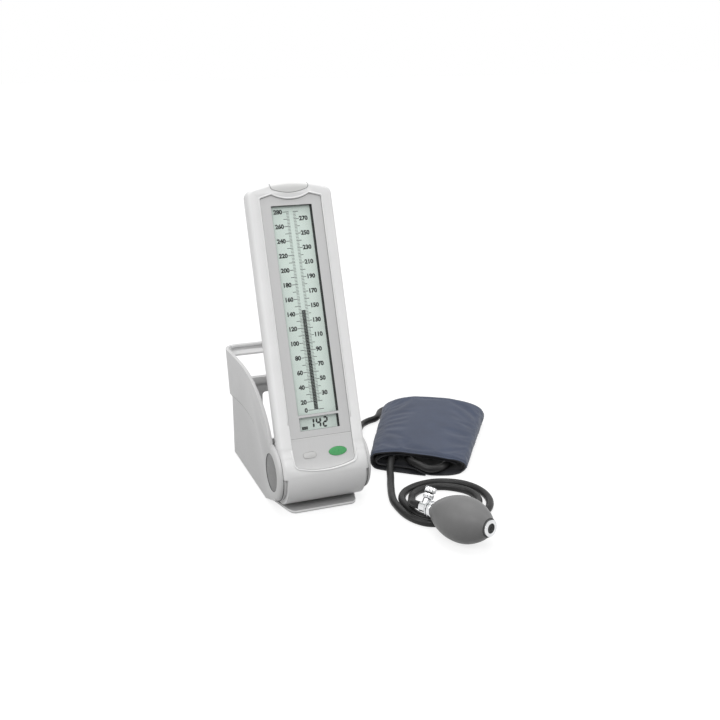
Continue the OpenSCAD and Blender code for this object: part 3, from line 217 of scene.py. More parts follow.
class NodeRecipe(NodeSheet):
    """A Geometry Nodes tree with named inputs."""

    def __init__(self, name: str) -> None:
        """Starts a tree with a geometry input and output.

        Args:
            name: The tree's name.
        """
        super().__init__(bpy.data.node_groups.new(name, "GeometryNodeTree"))
        for way in ("INPUT", "OUTPUT"):
            self.tree.interface.new_socket("Geometry", in_out=way, socket_type="NodeSocketGeometry")
        self.entry = self.add("NodeGroupInput")
        self.inputs: dict[str, str] = {}

    def ask(self, name: str, kind: str = "Float") -> Socket:
        """Adds a named input.

        Args:
            name: The input's name.
            kind: Its type.

        Returns:
            Its socket inside the tree.
        """
        made = self.tree.interface.new_socket(name, in_out="INPUT", socket_type="NodeSocket" + kind)
        self.inputs[name] = made.identifier
        return next(s for s in self.entry.outputs if s.identifier == made.identifier)

    def close(self, geometry: Socket) -> None:
        """Ends the tree in Realize Instances and Set Material.

        Args:
            geometry: What the tree has made.
        """
        finish = self.ask("Finish", "Material")
        real = self.add("GeometryNodeRealizeInstances", {0: geometry})
        done = self.add("GeometryNodeSetMaterial", {"Geometry": real.outputs[0], "Material": finish})
        self.add("NodeGroupOutput", {0: done.outputs[0]})

    def run(self, piece: Piece, values: dict[str, object]) -> None:
        """Runs the tree on a piece and keeps the result as its mesh.

        Args:
            piece: The piece.
            values: Values by the inputs' names.
        """
        modifier = piece.modifiers.new(self.tree.name, "NODES")
        modifier.node_group = self.tree
        for name, value in values.items():
            modifier[self.inputs[name]] = value
        settle(piece)


# Finishes


@dataclass(frozen=True)
class Recipe:
    """What every finish has.

    Attributes:
        name: Name of its material.
        shade: Its colour.
    """

    name: str
    shade: Shade

    def toned(self, factor: float) -> Shade:
        """The colour times a factor, white at most."""
        return tuple(min(1.0, c * factor) for c in self.shade)


@dataclass(frozen=True)
class MouldedPlastic(Recipe):
    """Injection moulded housing plastic with a fine spark grain and a soft gloss.

    Attributes:
        rough: Its mean roughness.
        grain: Depth of the grain in metres.
        coat: Strength of a clear gloss on top.
    """

    rough: float = 0.42
    grain: float = 0.00002
    coat: float = 0.0

    def paint(self) -> bpy.types.Material:
        """Makes the material.

        Returns:
            The material.
        """
        sheet = ShaderSheet(self.name, Specular_IOR_Level=0.42, Coat_Weight=self.coat, Coat_Roughness=0.2)
        sheet.feed(sheet.tint(sheet.cloud(26, 2), self.toned(0.965), self.shade), "Base Color")
        sheet.feed(sheet.spread(sheet.cloud(420), self.rough - 0.05, self.rough + 0.06), "Roughness")
        sheet.bump(sheet.cloud(3600, 2, 0.6), 0.35, self.grain)
        return sheet.material


@dataclass(frozen=True)
class SilverFilm(Recipe):
    """Printed silver film with a fine pearl fleck and a faint upright brushing."""

    def paint(self) -> bpy.types.Material:
        """Makes the material.

        Returns:
            The material.
        """
        sheet = ShaderSheet(self.name, Metallic=0.12, Specular_IOR_Level=0.45)
        upright = sheet.add("ShaderNodeMapping", {"Vector": sheet.here, "Scale": (1, 0.03, 0.03)})
        brush = sheet.cloud(900, 2, 0.5, upright.outputs[0])
        fleck = sheet.cloud(5200, 1)
        both = sheet.maths("ADD", sheet.maths("MULTIPLY", brush, 0.3), sheet.maths("MULTIPLY", fleck, 0.7))
        sheet.feed(sheet.tint(both, self.toned(0.955), self.toned(1.03)), "Base Color")
        sheet.feed(sheet.spread(fleck, 0.34, 0.44), "Roughness")
        sheet.bump(brush, 0.12, 0.00001)
        return sheet.material


@dataclass(frozen=True)
class LiquidCrystal(Recipe):
    """Grey-green reflective display glass."""

    def paint(self) -> bpy.types.Material:
        """Makes the material.

        Returns:
            The material.
        """
        sheet = ShaderSheet(self.name, Specular_IOR_Level=0.3, Coat_Weight=0.1, Coat_Roughness=0.1)
        sheet.feed(sheet.tint(sheet.cloud(14, 1), self.toned(0.95), self.shade), "Base Color")
        sheet.feed(sheet.spread(sheet.cloud(2600, 1), 0.3, 0.42), "Roughness")
        return sheet.material


@dataclass(frozen=True)
class PrintInk(Recipe):
    """Display segments and printed marks."""

    def paint(self) -> bpy.types.Material:
        """Makes the material.

        Returns:
            The material.
        """
        sheet = ShaderSheet(self.name, Specular_IOR_Level=0.2)
        sheet.feed(sheet.tint(sheet.cloud(700, 2), self.toned(0.8), self.shade), "Base Color")
        sheet.feed(sheet.spread(sheet.cloud(1500, 1), 0.5, 0.62), "Roughness")
        return sheet.material


@dataclass(frozen=True)
class ClearWindow(Recipe):
    """Thin clear window in front of the displays."""

    def paint(self) -> bpy.types.Material:
        """Makes the material.

        Returns:
            The material.
        """
        sheet = ShaderSheet(self.name, Alpha=0.03, Specular_IOR_Level=0.8)
        sheet.feed(sheet.tint(sheet.cloud(30, 1), screen(225, 236, 230), self.shade), "Base Color")
        sheet.feed(sheet.spread(sheet.cloud(60, 2), 0.03, 0.07), "Roughness")
        return sheet.material


@dataclass(frozen=True)
class Metal(Recipe):
    """Plated or turned metal.

    Attributes:
        rough: Its mean roughness.
        lines: Depth of the turning lines in metres, or 0.
    """

    rough: float
    lines: float = 0.0

    def paint(self) -> bpy.types.Material:
        """Makes the material.

        Returns:
            The material.
        """
        sheet = ShaderSheet(self.name, Metallic=1.0, Specular_Tint=(0.35, 0.35, 0.37, 1.0))
        sheet.feed(sheet.tint(sheet.cloud(180), self.toned(0.86), self.shade), "Base Color")
        sheet.feed(sheet.spread(sheet.cloud(900), self.rough * 0.7, self.rough * 1.5), "Roughness")
        if self.lines:
            sheet.bump(sheet.cloud(4000, 2), 0.3, self.lines)
        return sheet.material


@dataclass(frozen=True)
class Rubber(Recipe):
    """Moulded rubber with a dry bloom in its colour and a fine skin.

    Attributes:
        rough: Its mean roughness.
        bloom: How much lighter the bloom is.
    """

    rough: float
    bloom: float = 1.25

    def paint(self) -> bpy.types.Material:
        """Makes the material.

        Returns:
            The material.
        """
        sheet = ShaderSheet(self.name, Specular_IOR_Level=0.24)
        sheet.feed(sheet.tint(sheet.cloud(46, 4, 0.6), self.shade, self.toned(self.bloom)), "Base Color")
        sheet.feed(sheet.spread(sheet.cloud(300), self.rough - 0.06, self.rough + 0.1), "Roughness")
        sheet.bump(sheet.cloud(2300, 3, 0.6), 0.4, 0.00003)
        return sheet.material


@dataclass(frozen=True)
class WovenNylon(Recipe):
    """Woven nylon cloth.

    Attributes:
        threads: Threads per metre.
        weave: Depth of the weave in metres.
        rough: Its mean roughness.
        mapped: Whether it follows the cloth's own UV map, not object coordinates.
    """

    threads: float = 1250.0
    weave: float = 0.00008
    rough: float = 0.62
    mapped: bool = True

    def paint(self) -> bpy.types.Material:
        """Makes the material.

        Returns:
            The material.
        """
        sheet = ShaderSheet(self.name, Specular_IOR_Level=0.32, Sheen_Weight=0.18, Sheen_Roughness=0.5)
        cloth = sheet.here.node.outputs["UV"] if self.mapped else sheet.here
        sets: list[Socket] = []
        for turn in (0.0, math.pi / 2):
            laid = sheet.add("ShaderNodeMapping", {"Vector": cloth, "Rotation": (0, 0, turn)})
            sets.append(sheet.add("ShaderNodeTexWave", {
                "Vector": laid.outputs[0], "Scale": self.threads * math.tau / 20.0, "Distortion": 0.6,
                "Detail": 1.0}).outputs["Fac"])
        weave = sheet.maths("MULTIPLY", *sets)
        fade = sheet.maths("MULTIPLY", sheet.cloud(38, 4, 0.55), 0.8)
        mixed = sheet.maths("ADD", sheet.maths("MULTIPLY", weave, 0.3), fade)
        sheet.feed(sheet.tint(mixed, self.toned(0.8), self.toned(1.22), 0.2, 0.75), "Base Color")
        sheet.feed(sheet.spread(weave, self.rough - 0.08, self.rough + 0.1, 0.0, 1.0), "Roughness")
        sheet.bump(weave, 0.5, self.weave)
        sheet.bump(sheet.cloud(120), 0.22, 0.0006)
        return sheet.material


@dataclass(frozen=True)
class CircuitBoard(Recipe):
    """Solder mask with faint copper runs under it."""

    def paint(self) -> bpy.types.Material:
        """Makes the material.

        Returns:
            The material.
        """
        sheet = ShaderSheet(self.name)
        runs = sheet.add("ShaderNodeTexBrick", {
            "Vector": sheet.here, "Scale": 160.0, "Color1": (*self.shade, 1),
            "Color2": (*self.toned(1.25), 1), "Mortar": (*self.toned(1.7), 1)})
        sheet.feed(runs.outputs["Color"], "Base Color")
        sheet.feed(sheet.spread(sheet.cloud(300, 2), 0.3, 0.4), "Roughness")
        return sheet.material


class Finish(Enum):
    """Every finish on the gauge. Its value is the recipe that paints it."""

    WHITE = MouldedPlastic("white_housing", screen(233), 0.4)
    KEY_WHITE = MouldedPlastic("white_key", screen(226, 226, 225), 0.36, 0.00001, 0.1)
    KEY_PALE = MouldedPlastic("pale_key", screen(214, 214, 213), 0.36, 0.00001, 0.1)
    STAND = MouldedPlastic("stand_housing", screen(209), 0.44)
    DOOR = MouldedPlastic("door_housing", screen(222), 0.42)
    GREEN = MouldedPlastic("green_key", screen(78, 167, 101), 0.3, 0.00001, 0.25)
    CAP = MouldedPlastic("cap_housing", screen(122), 0.46, 0.00007)
    # Near-black finish of dark parts such as the window mask, also used for painted shade: window walls,
    # gap and groove lines, and the intake valve in the bulb's end hole.
    LINER = MouldedPlastic("dark_parts_and_painted_shade", screen(38, 40, 40), 0.5)
    # The base plate's grey, darkened further as painted shade for its top in the column's shadow.
    PLATE = MouldedPlastic("plate_paint", screen(172), 0.38, 0.00004)
    # Grey for the painted shade lines in the seams round the films and the top key.
    SEAM = MouldedPlastic("seam_shadow", screen(140), 0.6)
    # Mid grey for the painted shade line along the cheeks' crease.
    CREASE = MouldedPlastic("crease_shadow", screen(158), 0.6)
    # A lit copy of the plate's paint, the painted highlight on the foot plate's front edge.
    LIP = MouldedPlastic("plate_edge_highlight", screen(236), 0.4)
    PARTS = MouldedPlastic("moulded_parts", screen(48, 48, 50), 0.5)
    FILM = SilverFilm("silver_film", screen(205))
    KEY_FILM = SilverFilm("key_film", screen(210))
    CRYSTAL = LiquidCrystal("display_glass", screen(227, 240, 233))
    INK = PrintInk("display_segments", screen(16, 20, 20))
    FAINT_INK = PrintInk("scale_print", screen(40, 47, 46))
    WINDOW = ClearWindow("clear_window", screen(236, 243, 239))
    CHROME = Metal("chrome", screen(230, 231, 232), 0.1)
    STEEL = Metal("plated_steel", screen(188, 189, 192), 0.24, 0.00001)
    JACKET = Metal("cell_jacket", screen(96, 100, 108), 0.35)
    FOOT = Rubber("foot_rubber", screen(58), 0.6)
    HOSE = Rubber("hose_rubber", screen(36), 0.36)
    BULB = Rubber("bulb_rubber", screen(117), 0.4, 1.1)
    CLEAR_TUBE = Rubber("pale_tube", screen(214, 212, 202), 0.3)
    STRIP = Rubber("contact_rubber", screen(196, 150, 148), 0.6)
    COVER = WovenNylon("cuff_cover_cloth", screen(59, 68, 88))
    # Near-black lining cloth inside the strip, also put on the outside of the inner plies and the tucked
    # end as painted shade inside and under the roll.
    LINING = WovenNylon("cuff_lining_and_painted_shade", screen(24, 25, 30), 1000.0, 0.00004, 0.42)
    # The cover cloth at three quarters of its brightness, painted shade on the cuff's right side that turns
    # down.
    BINDING = WovenNylon("cover_cloth_painted_shade", screen(44, 50, 66), 1400.0, 0.00006, 0.6)
    HOOKS = WovenNylon("hook_tape", screen(26, 27, 30), 600.0, 0.0002, 0.7, False)
    THREAD = WovenNylon("seam_thread", screen(50, 56, 72), 2400.0, 0.00003, 0.7, False)
    BOARD = CircuitBoard("board_mask", (0.02, 0.16, 0.06))


# Pieces


@dataclass
class Workshop:
    """What every sub-assembly needs, with the calls that finish a piece.

    Attributes:
        nodes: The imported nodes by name.
        paints: The materials made so far.
        count: How many pieces ride.
    """

    nodes: dict[str, Piece]
    paints: dict[Finish, bpy.types.Material] = field(default_factory=dict)
    count: int = 0

    def paint(self, finish: Finish) -> bpy.types.Material:
        """The material of a finish, made at its first use.

        Args:
            finish: The finish.

        Returns:
            Its material.
        """
        if finish not in self.paints:
            self.paints[finish] = finish.value.paint()
        return self.paints[finish]

    def link(self, name: str, mesh: bpy.types.Mesh, *finishes: Finish) -> Piece:
        """Puts a mesh into the scene as a piece at the origin, with its material slots in order.

        Args:
            name: The piece's name.
            mesh: Its mesh, in place.
            finishes: Its material slots in order.

        Returns:
            The piece.
        """
        mesh.name = name
        piece = bpy.data.objects.new(name, mesh)
        bpy.context.scene.collection.objects.link(piece)
        for finish in finishes:
            mesh.materials.append(self.paint(finish))
        return piece

    def solid(self, name: str, points: Iterable[Sequence[float]], faces: Iterable[Sequence[int]],
              finish: Finish, place: Matrix | None = None, smooth: float | None = None) -> Piece:
        """Makes a piece from points and faces.

        Args:
            name: The piece's name.
            points: Its corners.
            faces: Corner numbers of each face.
            finish: Its finish.
            place: Maps its corners into the part's frame, if they aren't in it.
            smooth: Edges below this angle are smooth, or None for flat faces.

        Returns:
            The piece, not yet riding.
        """
        mesh = bpy.data.meshes.new(name)
        mesh.from_pydata([tuple(p) for p in points], [], [tuple(f) for f in faces])
        mesh.validate()
        outward(mesh)
        if smooth is not None:
            soften(mesh, smooth)
        if place is not None:
            mesh.transform(place)
        return self.link(name, mesh, finish)

    def seat(self, piece: Piece, body: Body, slot: str, *replaces: str) -> None:
        """Makes a finished piece ride and hides the CAD nodes that it stands for.

        Args:
            piece: The piece.
            body: What it rides on.
            slot: The record's material slot. Not used.
            replaces: CAD nodes that it stands for.
        """
        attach(piece, body.value)
        if replaces:
            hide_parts(*replaces)
        self.count += 1
        LOG.info("piece %s rides on %s", piece.name, body.value)

    def dress(self, finish: Finish, *names: str) -> None:
        """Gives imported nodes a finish.

        Args:
            finish: The finish.
            names: The nodes' names.
        """
        for name in names:
            materials = self.nodes[name].data.materials
            materials.clear()
            materials.append(self.paint(finish))

    def softened(self, node: str, name: str, width: float, finish: Finish, body: Body, slot: str,
                 segments: int = 2) -> Piece:
        """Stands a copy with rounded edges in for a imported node.

        Args:
            node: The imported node.
            name: The new piece's name.
            width: Width of the rounding in metres.
            finish: Its finish.
            body: What it rides on.
            slot: The record's material slot.
            segments: Faces across the rounding.

        Returns:
            The piece.
        """
        work = bmesh.new()
        work.from_mesh(self.nodes[node].data)
        merge, sliver, shaded = 2e-6, 1e-6, 34.0
        level, sharp = math.radians(0.6), math.radians(30)
        bmesh.ops.remove_doubles(work, verts=work.verts[:], dist=merge)
        bmesh.ops.dissolve_degenerate(work, edges=work.edges[:], dist=sliver)
        bmesh.ops.dissolve_limit(work, angle_limit=level, verts=work.verts[:], edges=work.edges[:])
        mesh = bpy.data.meshes.new(name)
        work.to_mesh(mesh)
        work.free()
        for layer in ("custom_normal", "sharp_edge", "sharp_face"):
            if layer in mesh.attributes:
                mesh.attributes.remove(mesh.attributes[layer])
        piece = self.link(name, mesh, finish)
        bevel = piece.modifiers.new("soft_edges", "BEVEL")
        bevel.width, bevel.segments = width, segments
        bevel.limit_method, bevel.angle_limit = "ANGLE", sharp
        bevel.use_clamp_overlap = True
        bevel.miter_outer = "MITER_ARC"
        settle(piece)
        soften(piece.data, shaded)
        self.seat(piece, body, slot, node)
        return piece


def outward(mesh: bpy.types.Mesh, close: bool = False) -> None:
    """Turns a mesh's faces outwards, after its open rings are closed where asked.

    Args:
        mesh: The mesh.
        close: Whether its open rings are closed first.
    """
    work = bmesh.new()
    work.from_mesh(mesh)
    if close:
        bmesh.ops.holes_fill(work, edges=[e for e in work.edges if e.is_boundary], sides=0)
    bmesh.ops.recalc_face_normals(work, faces=work.faces[:])
    work.to_mesh(mesh)
    work.free()


def soften(mesh: bpy.types.Mesh, angle: float) -> None:
    """Shades a mesh smooth and keeps edges above an angle in degrees sharp."""
    mesh.polygons.foreach_set("use_smooth", [True] * len(mesh.polygons))
    mesh.set_sharp_from_angle(angle=math.radians(angle))


def settle(piece: Piece) -> None:
    """Keeps what a piece's modifiers make as its mesh, with its materials.

    Args:
        piece: The piece.
    """
    graph = bpy.context.evaluated_depsgraph_get()
    graph.update()
    made = bpy.data.meshes.new_from_object(piece.evaluated_get(graph), depsgraph=graph)
    if not made.materials:
        for material in piece.data.materials:
            made.materials.append(material)
    piece.modifiers.clear()
    piece.data = made


class MarkRow:
    """A Geometry Nodes row of equal bars, for ticks, segments and grip ribs."""

    _recipe: NodeRecipe | None = None

    @classmethod
    def recipe(cls) -> NodeRecipe:
        """The tree, built once.

        Returns:
            The tree.
        """
        if cls._recipe is None:
            cls._recipe = made = NodeRecipe("mark_row")
            number = made.ask("Number", "Int")
            size, start, step = (made.ask(name, "Vector") for name in ("Bar size", "Start", "Step"))
            line = made.add("GeometryNodeMeshLine", {
                "Count": number, "Start Location": start, "Offset": step}, mode="OFFSET")
            bar = made.add("GeometryNodeMeshCube", {"Size": size})
            placed = made.add("GeometryNodeInstanceOnPoints", {"Points": line.outputs[0],
                                                               "Instance": bar.outputs[0]})
            made.close(placed.outputs[0])
        return cls._recipe

    @classmethod
    def make(cls, shop: Workshop, name: str, number: int, size: Point, start: Point, step: Point,
             place: Matrix, finish: Finish) -> Piece:
        """Makes one row.

        Args:
            shop: The workshop.
            name: The piece's name.
            number: How many bars.
            size: Size of one bar.
            start: Middle of the first bar.
            step: From one bar to the next.
            place: Maps all these into the part's frame.
            finish: Its finish.

        Returns:
            The piece, not yet riding.
        """
        piece = shop.link(name, bpy.data.meshes.new(name))
        cls.recipe().run(piece, {"Number": number, "Bar size": size, "Start": start, "Step": step,
                                 "Finish": shop.paint(finish)})
        piece.data.transform(place)
        return piece


class StitchLine:
    """A Geometry Nodes line of thread stitches along a path."""

    _recipe: NodeRecipe | None = None

    @classmethod
    def recipe(cls) -> NodeRecipe:
        """The tree, built once.

        Returns:
            The tree.
        """
        if cls._recipe is None:
            cls._recipe = made = NodeRecipe("stitch_line")
            pitch, length, radius = (made.ask(name) for name in ("Pitch", "Stitch length", "Thread radius"))
            path = made.add("GeometryNodeMeshToCurve", {"Mesh": made.entry.outputs[0]})
            spaced = made.add("GeometryNodeResampleCurve", {"Curve": path.outputs[0], "Length": pitch},
                              mode="LENGTH")
            points = made.add("GeometryNodeCurveToPoints", {"Curve": spaced.outputs[0]}, mode="EVALUATED")
            thread = made.add("GeometryNodeMeshUVSphere", {"Segments": 6, "Rings": 5, "Radius": radius})
            half = made.maths("MULTIPLY", made.maths("DIVIDE", length, radius), 0.5)
            scale = made.add("ShaderNodeCombineXYZ", {"X": 1.0, "Y": 1.0, "Z": half})
            placed = made.add("GeometryNodeInstanceOnPoints", {
                "Points": points.outputs["Points"], "Instance": thread.outputs[0],
                "Rotation": points.outputs["Rotation"], "Scale": scale.outputs[0]})
            made.close(placed.outputs[0])
        return cls._recipe

    @classmethod
    def make(cls, shop: Workshop, name: str, paths: Sequence[Line], pitch: float, length: float,
             radius: float, finish: Finish) -> Piece:
        """Makes one piece of stitches along several paths.

        Args:
            shop: The workshop.
            name: The piece's name.
            paths: Points of each path.
            pitch: From one stitch to the next.
            length: Length of a stitch.
            radius: Radius of the thread.
            finish: Its finish.

        Returns:
            The piece, not yet riding.
        """
        points: list[Vector] = []
        edges: list[tuple[int, int]] = []
        for path in paths:
            edges += [(len(points) + i, len(points) + i + 1) for i in range(len(path) - 1)]
            points += path
        mesh = bpy.data.meshes.new(name)
        mesh.from_pydata([tuple(p) for p in points], edges, [])
        piece = shop.link(name, mesh)
        cls.recipe().run(piece, {"Pitch": pitch, "Stitch length": length, "Thread radius": radius,
                                 "Finish": shop.paint(finish)})
        soften(piece.data, 180.0)
        return piece


def turned(shop: Workshop, name: str, profile: Sequence[Flat], size: Flat, sides: tuple[int, int],
           place: Matrix, finish: Finish, crisp: bool = False) -> Piece:
    """A Geometry Nodes solid of revolution whose radius follows a drawn curve.

    Args:
        shop: The workshop.
        name: The piece's name.
        profile: Share of the length and share of the radius, from one end to the other.
        size: Its length and its largest radius.
        sides: Faces around it and along it.
        place: Maps it into the part's frame.
        finish: Its finish.
        crisp: Whether the profile runs straight between its points.

    Returns:
        The piece, not yet riding.
    """
    made = NodeRecipe(name + "_turning")
    far, wide = made.ask("Length"), made.ask("Radius")
    turns, steps = made.ask("Faces around", "Int"), made.ask("Faces along", "Int")
    grid = made.add("GeometryNodeMeshGrid", {"Size X": 1.0, "Size Y": 1.0, "Vertices X": turns,
                                             "Vertices Y": steps})
    where = made.add("ShaderNodeSeparateXYZ", {0: made.add("GeometryNodeInputPosition").outputs[0]})
    turn = made.maths("MULTIPLY", where.outputs["X"], math.tau)
    share = made.maths("ADD", where.outputs["Y"], 0.5)
    curve = made.add("ShaderNodeFloatCurve", {"Factor": 1.0, "Value": share})
    line = curve.mapping.curves[0]
    line.points[0].location, line.points[1].location = profile[0], profile[-1]
    for point in profile[1:-1]:
        line.points.new(*point)
    for point in line.points:
        point.handle_type = "VECTOR" if crisp else "AUTO"
    curve.mapping.update()
    reach = made.maths("MULTIPLY", curve.outputs[0], wide)
    x, y = (made.maths("MULTIPLY", made.maths(kind, turn), reach) for kind in ("COSINE", "SINE"))
    spot = made.add("ShaderNodeCombineXYZ", {"X": x, "Y": y, "Z": made.maths("MULTIPLY", share, far)})
    moved = made.add("GeometryNodeSetPosition", {"Geometry": grid.outputs[0], "Position": spot.outputs[0]})
    joined = made.add("GeometryNodeMergeByDistance", {"Geometry": moved.outputs[0], "Distance": 1e-5})
    made.close(joined.outputs[0])
    piece = shop.link(name, bpy.data.meshes.new(name))
    made.run(piece, {"Length": size[0], "Radius": size[1], "Faces around": sides[0] + 1,
                     "Faces along": sides[1] + 1, "Finish": shop.paint(finish)})
    outward(piece.data, True)
    piece.data.transform(place)
    outward(piece.data)
    soften(piece.data, 50.0)
    return piece


def ring_sweep(shop: Workshop, name: str, outline: Sequence[Flat], thick: float, levels: Flat,
               place: Matrix, finish: Finish) -> Piece:
    """A thin upright wall that follows a closed outline.

    Args:
        shop: The workshop.
        name: The piece's name.
        outline: Corners of the outer line.
        thick: Thickness inwards.
        levels: Its lower and upper edge.
        place: Maps it into the part's frame.
        finish: Its finish.

    Returns:
        The piece, not yet riding.
    """
    count = len(outline)
    middle = Vector((sum(p[0] for p in outline) / count, sum(p[1] for p in outline) / count))
    inner = [(p[0] - math.copysign(thick, p[0] - middle.x), p[1] - math.copysign(thick, p[1] - middle.y))
             for p in outline]
    points = [(*p, w) for w in levels for line in (outline, inner) for p in line]
    faces = []
    for i in range(count):
        j = (i + 1) % count
        for a, b, c, d in ((0, 0, 2, 2), (1, 1, 3, 3), (0, 1, 1, 0), (2, 2, 3, 3)):
            turn = (i, j, j, i) if (a, b) in ((0, 0), (2, 2)) else (j, i, i, j)
            turn = (i, i, j, j) if (a, b) == (0, 1) else turn
            faces.append(tuple(k * count + t for k, t in zip((a, b, c, d), turn)))
    return shop.solid(name, points, faces, finish, place)


def bead(shop: Workshop, name: str, paths: Sequence[Line], radius: float, finish: Finish,
         closed: bool = False, sides: int = 8) -> Piece:
    """A thin round bead along paths, for raised rims, seams and grooves.

    Args:
        shop: The workshop.
        name: The piece's name.
        paths: Points of each path in metres.
        radius: Its radius in metres.
        finish: Its finish.
        closed: Whether each path runs back to its start.
        sides: Faces around it.

    Returns:
        The piece, not yet riding.
    """
    points: list[Vector] = []
    faces: list[tuple[int, ...]] = []
    for path in paths:
        base, count = len(points), len(path)
        side: Vector | None = None
        for i, spot in enumerate(path):
            ahead = path[(i + 1) % count] if closed else path[min(i + 1, count - 1)]
            behind = path[i - 1] if closed or i else path[0]
            run = (ahead - behind).normalized()
            side = run.orthogonal() if side is None else side - run * side.dot(run)
            side.normalize()
            over = run.cross(side)
            points += [spot + radius * (math.cos(math.tau * k / sides) * side
                                        + math.sin(math.tau * k / sides) * over) for k in range(sides)]
        for i in range(count if closed else count - 1):
            a, b = base + i * sides, base + (i + 1) % count * sides
            faces += [(a + k, a + (k + 1) % sides, b + (k + 1) % sides, b + k) for k in range(sides)]
        if not closed:
            last = base + (count - 1) * sides
            faces.append(tuple(base + k for k in reversed(range(sides))))
            faces.append(tuple(last + k for k in range(sides)))
    return shop.solid(name, points, faces, finish, smooth=60.0)


def arc(x: float, y: float, radius: float, start: float, end: float, steps: int) -> list[Flat]:
    """Points on an arc about a middle, from one angle to another in degrees."""
    turns = [math.radians(start + (end - start) * k / steps) for k in range(steps + 1)]
    return [(x + radius * math.cos(a), y + radius * math.sin(a)) for a in turns]


def between(knots: Sequence[Flat], x: float) -> float:
    """Value at x on straight stretches between knots.

    Args:
        knots: Places and their values.
        x: The place.

    Returns:
        The value.
    """
    for (x0, y0), (x1, y1) in zip(knots, knots[1:]):
        if x <= x1:
            return y0 + (y1 - y0) * max(0.0, (x - x0) / (x1 - x0))
    return knots[-1][1]


def smooth_path(points: Sequence[Sequence[float]], steps: int, scale: float = 1.0) -> list[Vector]:
    """Runs a smooth line through points, scaled, with a number of new points per stretch.

    Args:
        points: What the line runs through.
        steps: New points for each stretch.
        scale: Length of one unit.

    Returns:
        The line.
    """
    knots = [Vector(p) * scale for p in points]
    ends = [knots[0] * 2 - knots[1], *knots, knots[-1] * 2 - knots[-2]]
    line: list[Vector] = []
    for a, b, c, d in zip(ends, ends[1:], ends[2:], ends[3:]):
        for k in range(steps):
            t = k / steps
            line.append(0.5 * ((2 * b) + (c - a) * t + (2 * a - 5 * b + 4 * c - d) * t * t
                               + (3 * b - a - 3 * c + d) * t ** 3))
    line.append(knots[-1].copy())
    return line


# Camera, light and floor


@dataclass(frozen=True)
class PhotoView:
    """The photograph's point of view.

    Attributes:
        place: The camera's place.
        azimuth: Its direction round the object, in degrees.
        elevation: How far it looks down, in degrees.
        lens: Focal length in millimetres on a 36 mm sensor.
    """

    place: Point = (-0.29935, -0.89955, 0.46556)
    azimuth: float = -21.07
    elevation: float = 18.19
    lens: float = 50.11

    def build(self) -> None:
        """Makes the camera."""
        az, el = math.radians(self.azimuth), math.radians(self.elevation)
        ahead = Vector((-math.sin(az) * math.cos(el), math.cos(az) * math.cos(el), -math.sin(el)))
        right = Vector((math.cos(az), math.sin(az), 0))
        data = bpy.data.cameras.new("photo_view")
        data.lens, data.sensor_width = self.lens, 36.0
        data.clip_start, data.clip_end = 0.01, 50.0
        camera = bpy.data.objects.new("photo_view", data)
        facing = Matrix((right, right.cross(ahead), -ahead)).transposed().to_4x4()
        camera.matrix_world = Matrix.Translation(self.place) @ facing
        bpy.context.scene.collection.objects.link(camera)
        bpy.context.scene.camera = camera


@dataclass(frozen=True)
class SoftLamp:
    """One soft studio lamp.

    Attributes:
        name: Its name.
        place: Its middle.
        target: What it points at.
        size: Its width and height.
        power: Its power in watts.
    """

    name: str
    place: Point
    target: Point
    size: Flat
    power: float

    def build(self) -> None:
        """Makes the lamp."""
        data = bpy.data.lights.new(self.name, "AREA")
        data.shape = "RECTANGLE"
        data.size, data.size_y = self.size
        data.energy = self.power
        lamp = bpy.data.objects.new(self.name, data)
        lamp.location = self.place
        aim = Vector(self.target) - Vector(self.place)
        lamp.rotation_euler = aim.to_track_quat("-Z", "Y").to_euler()
        bpy.context.scene.collection.objects.link(lamp)


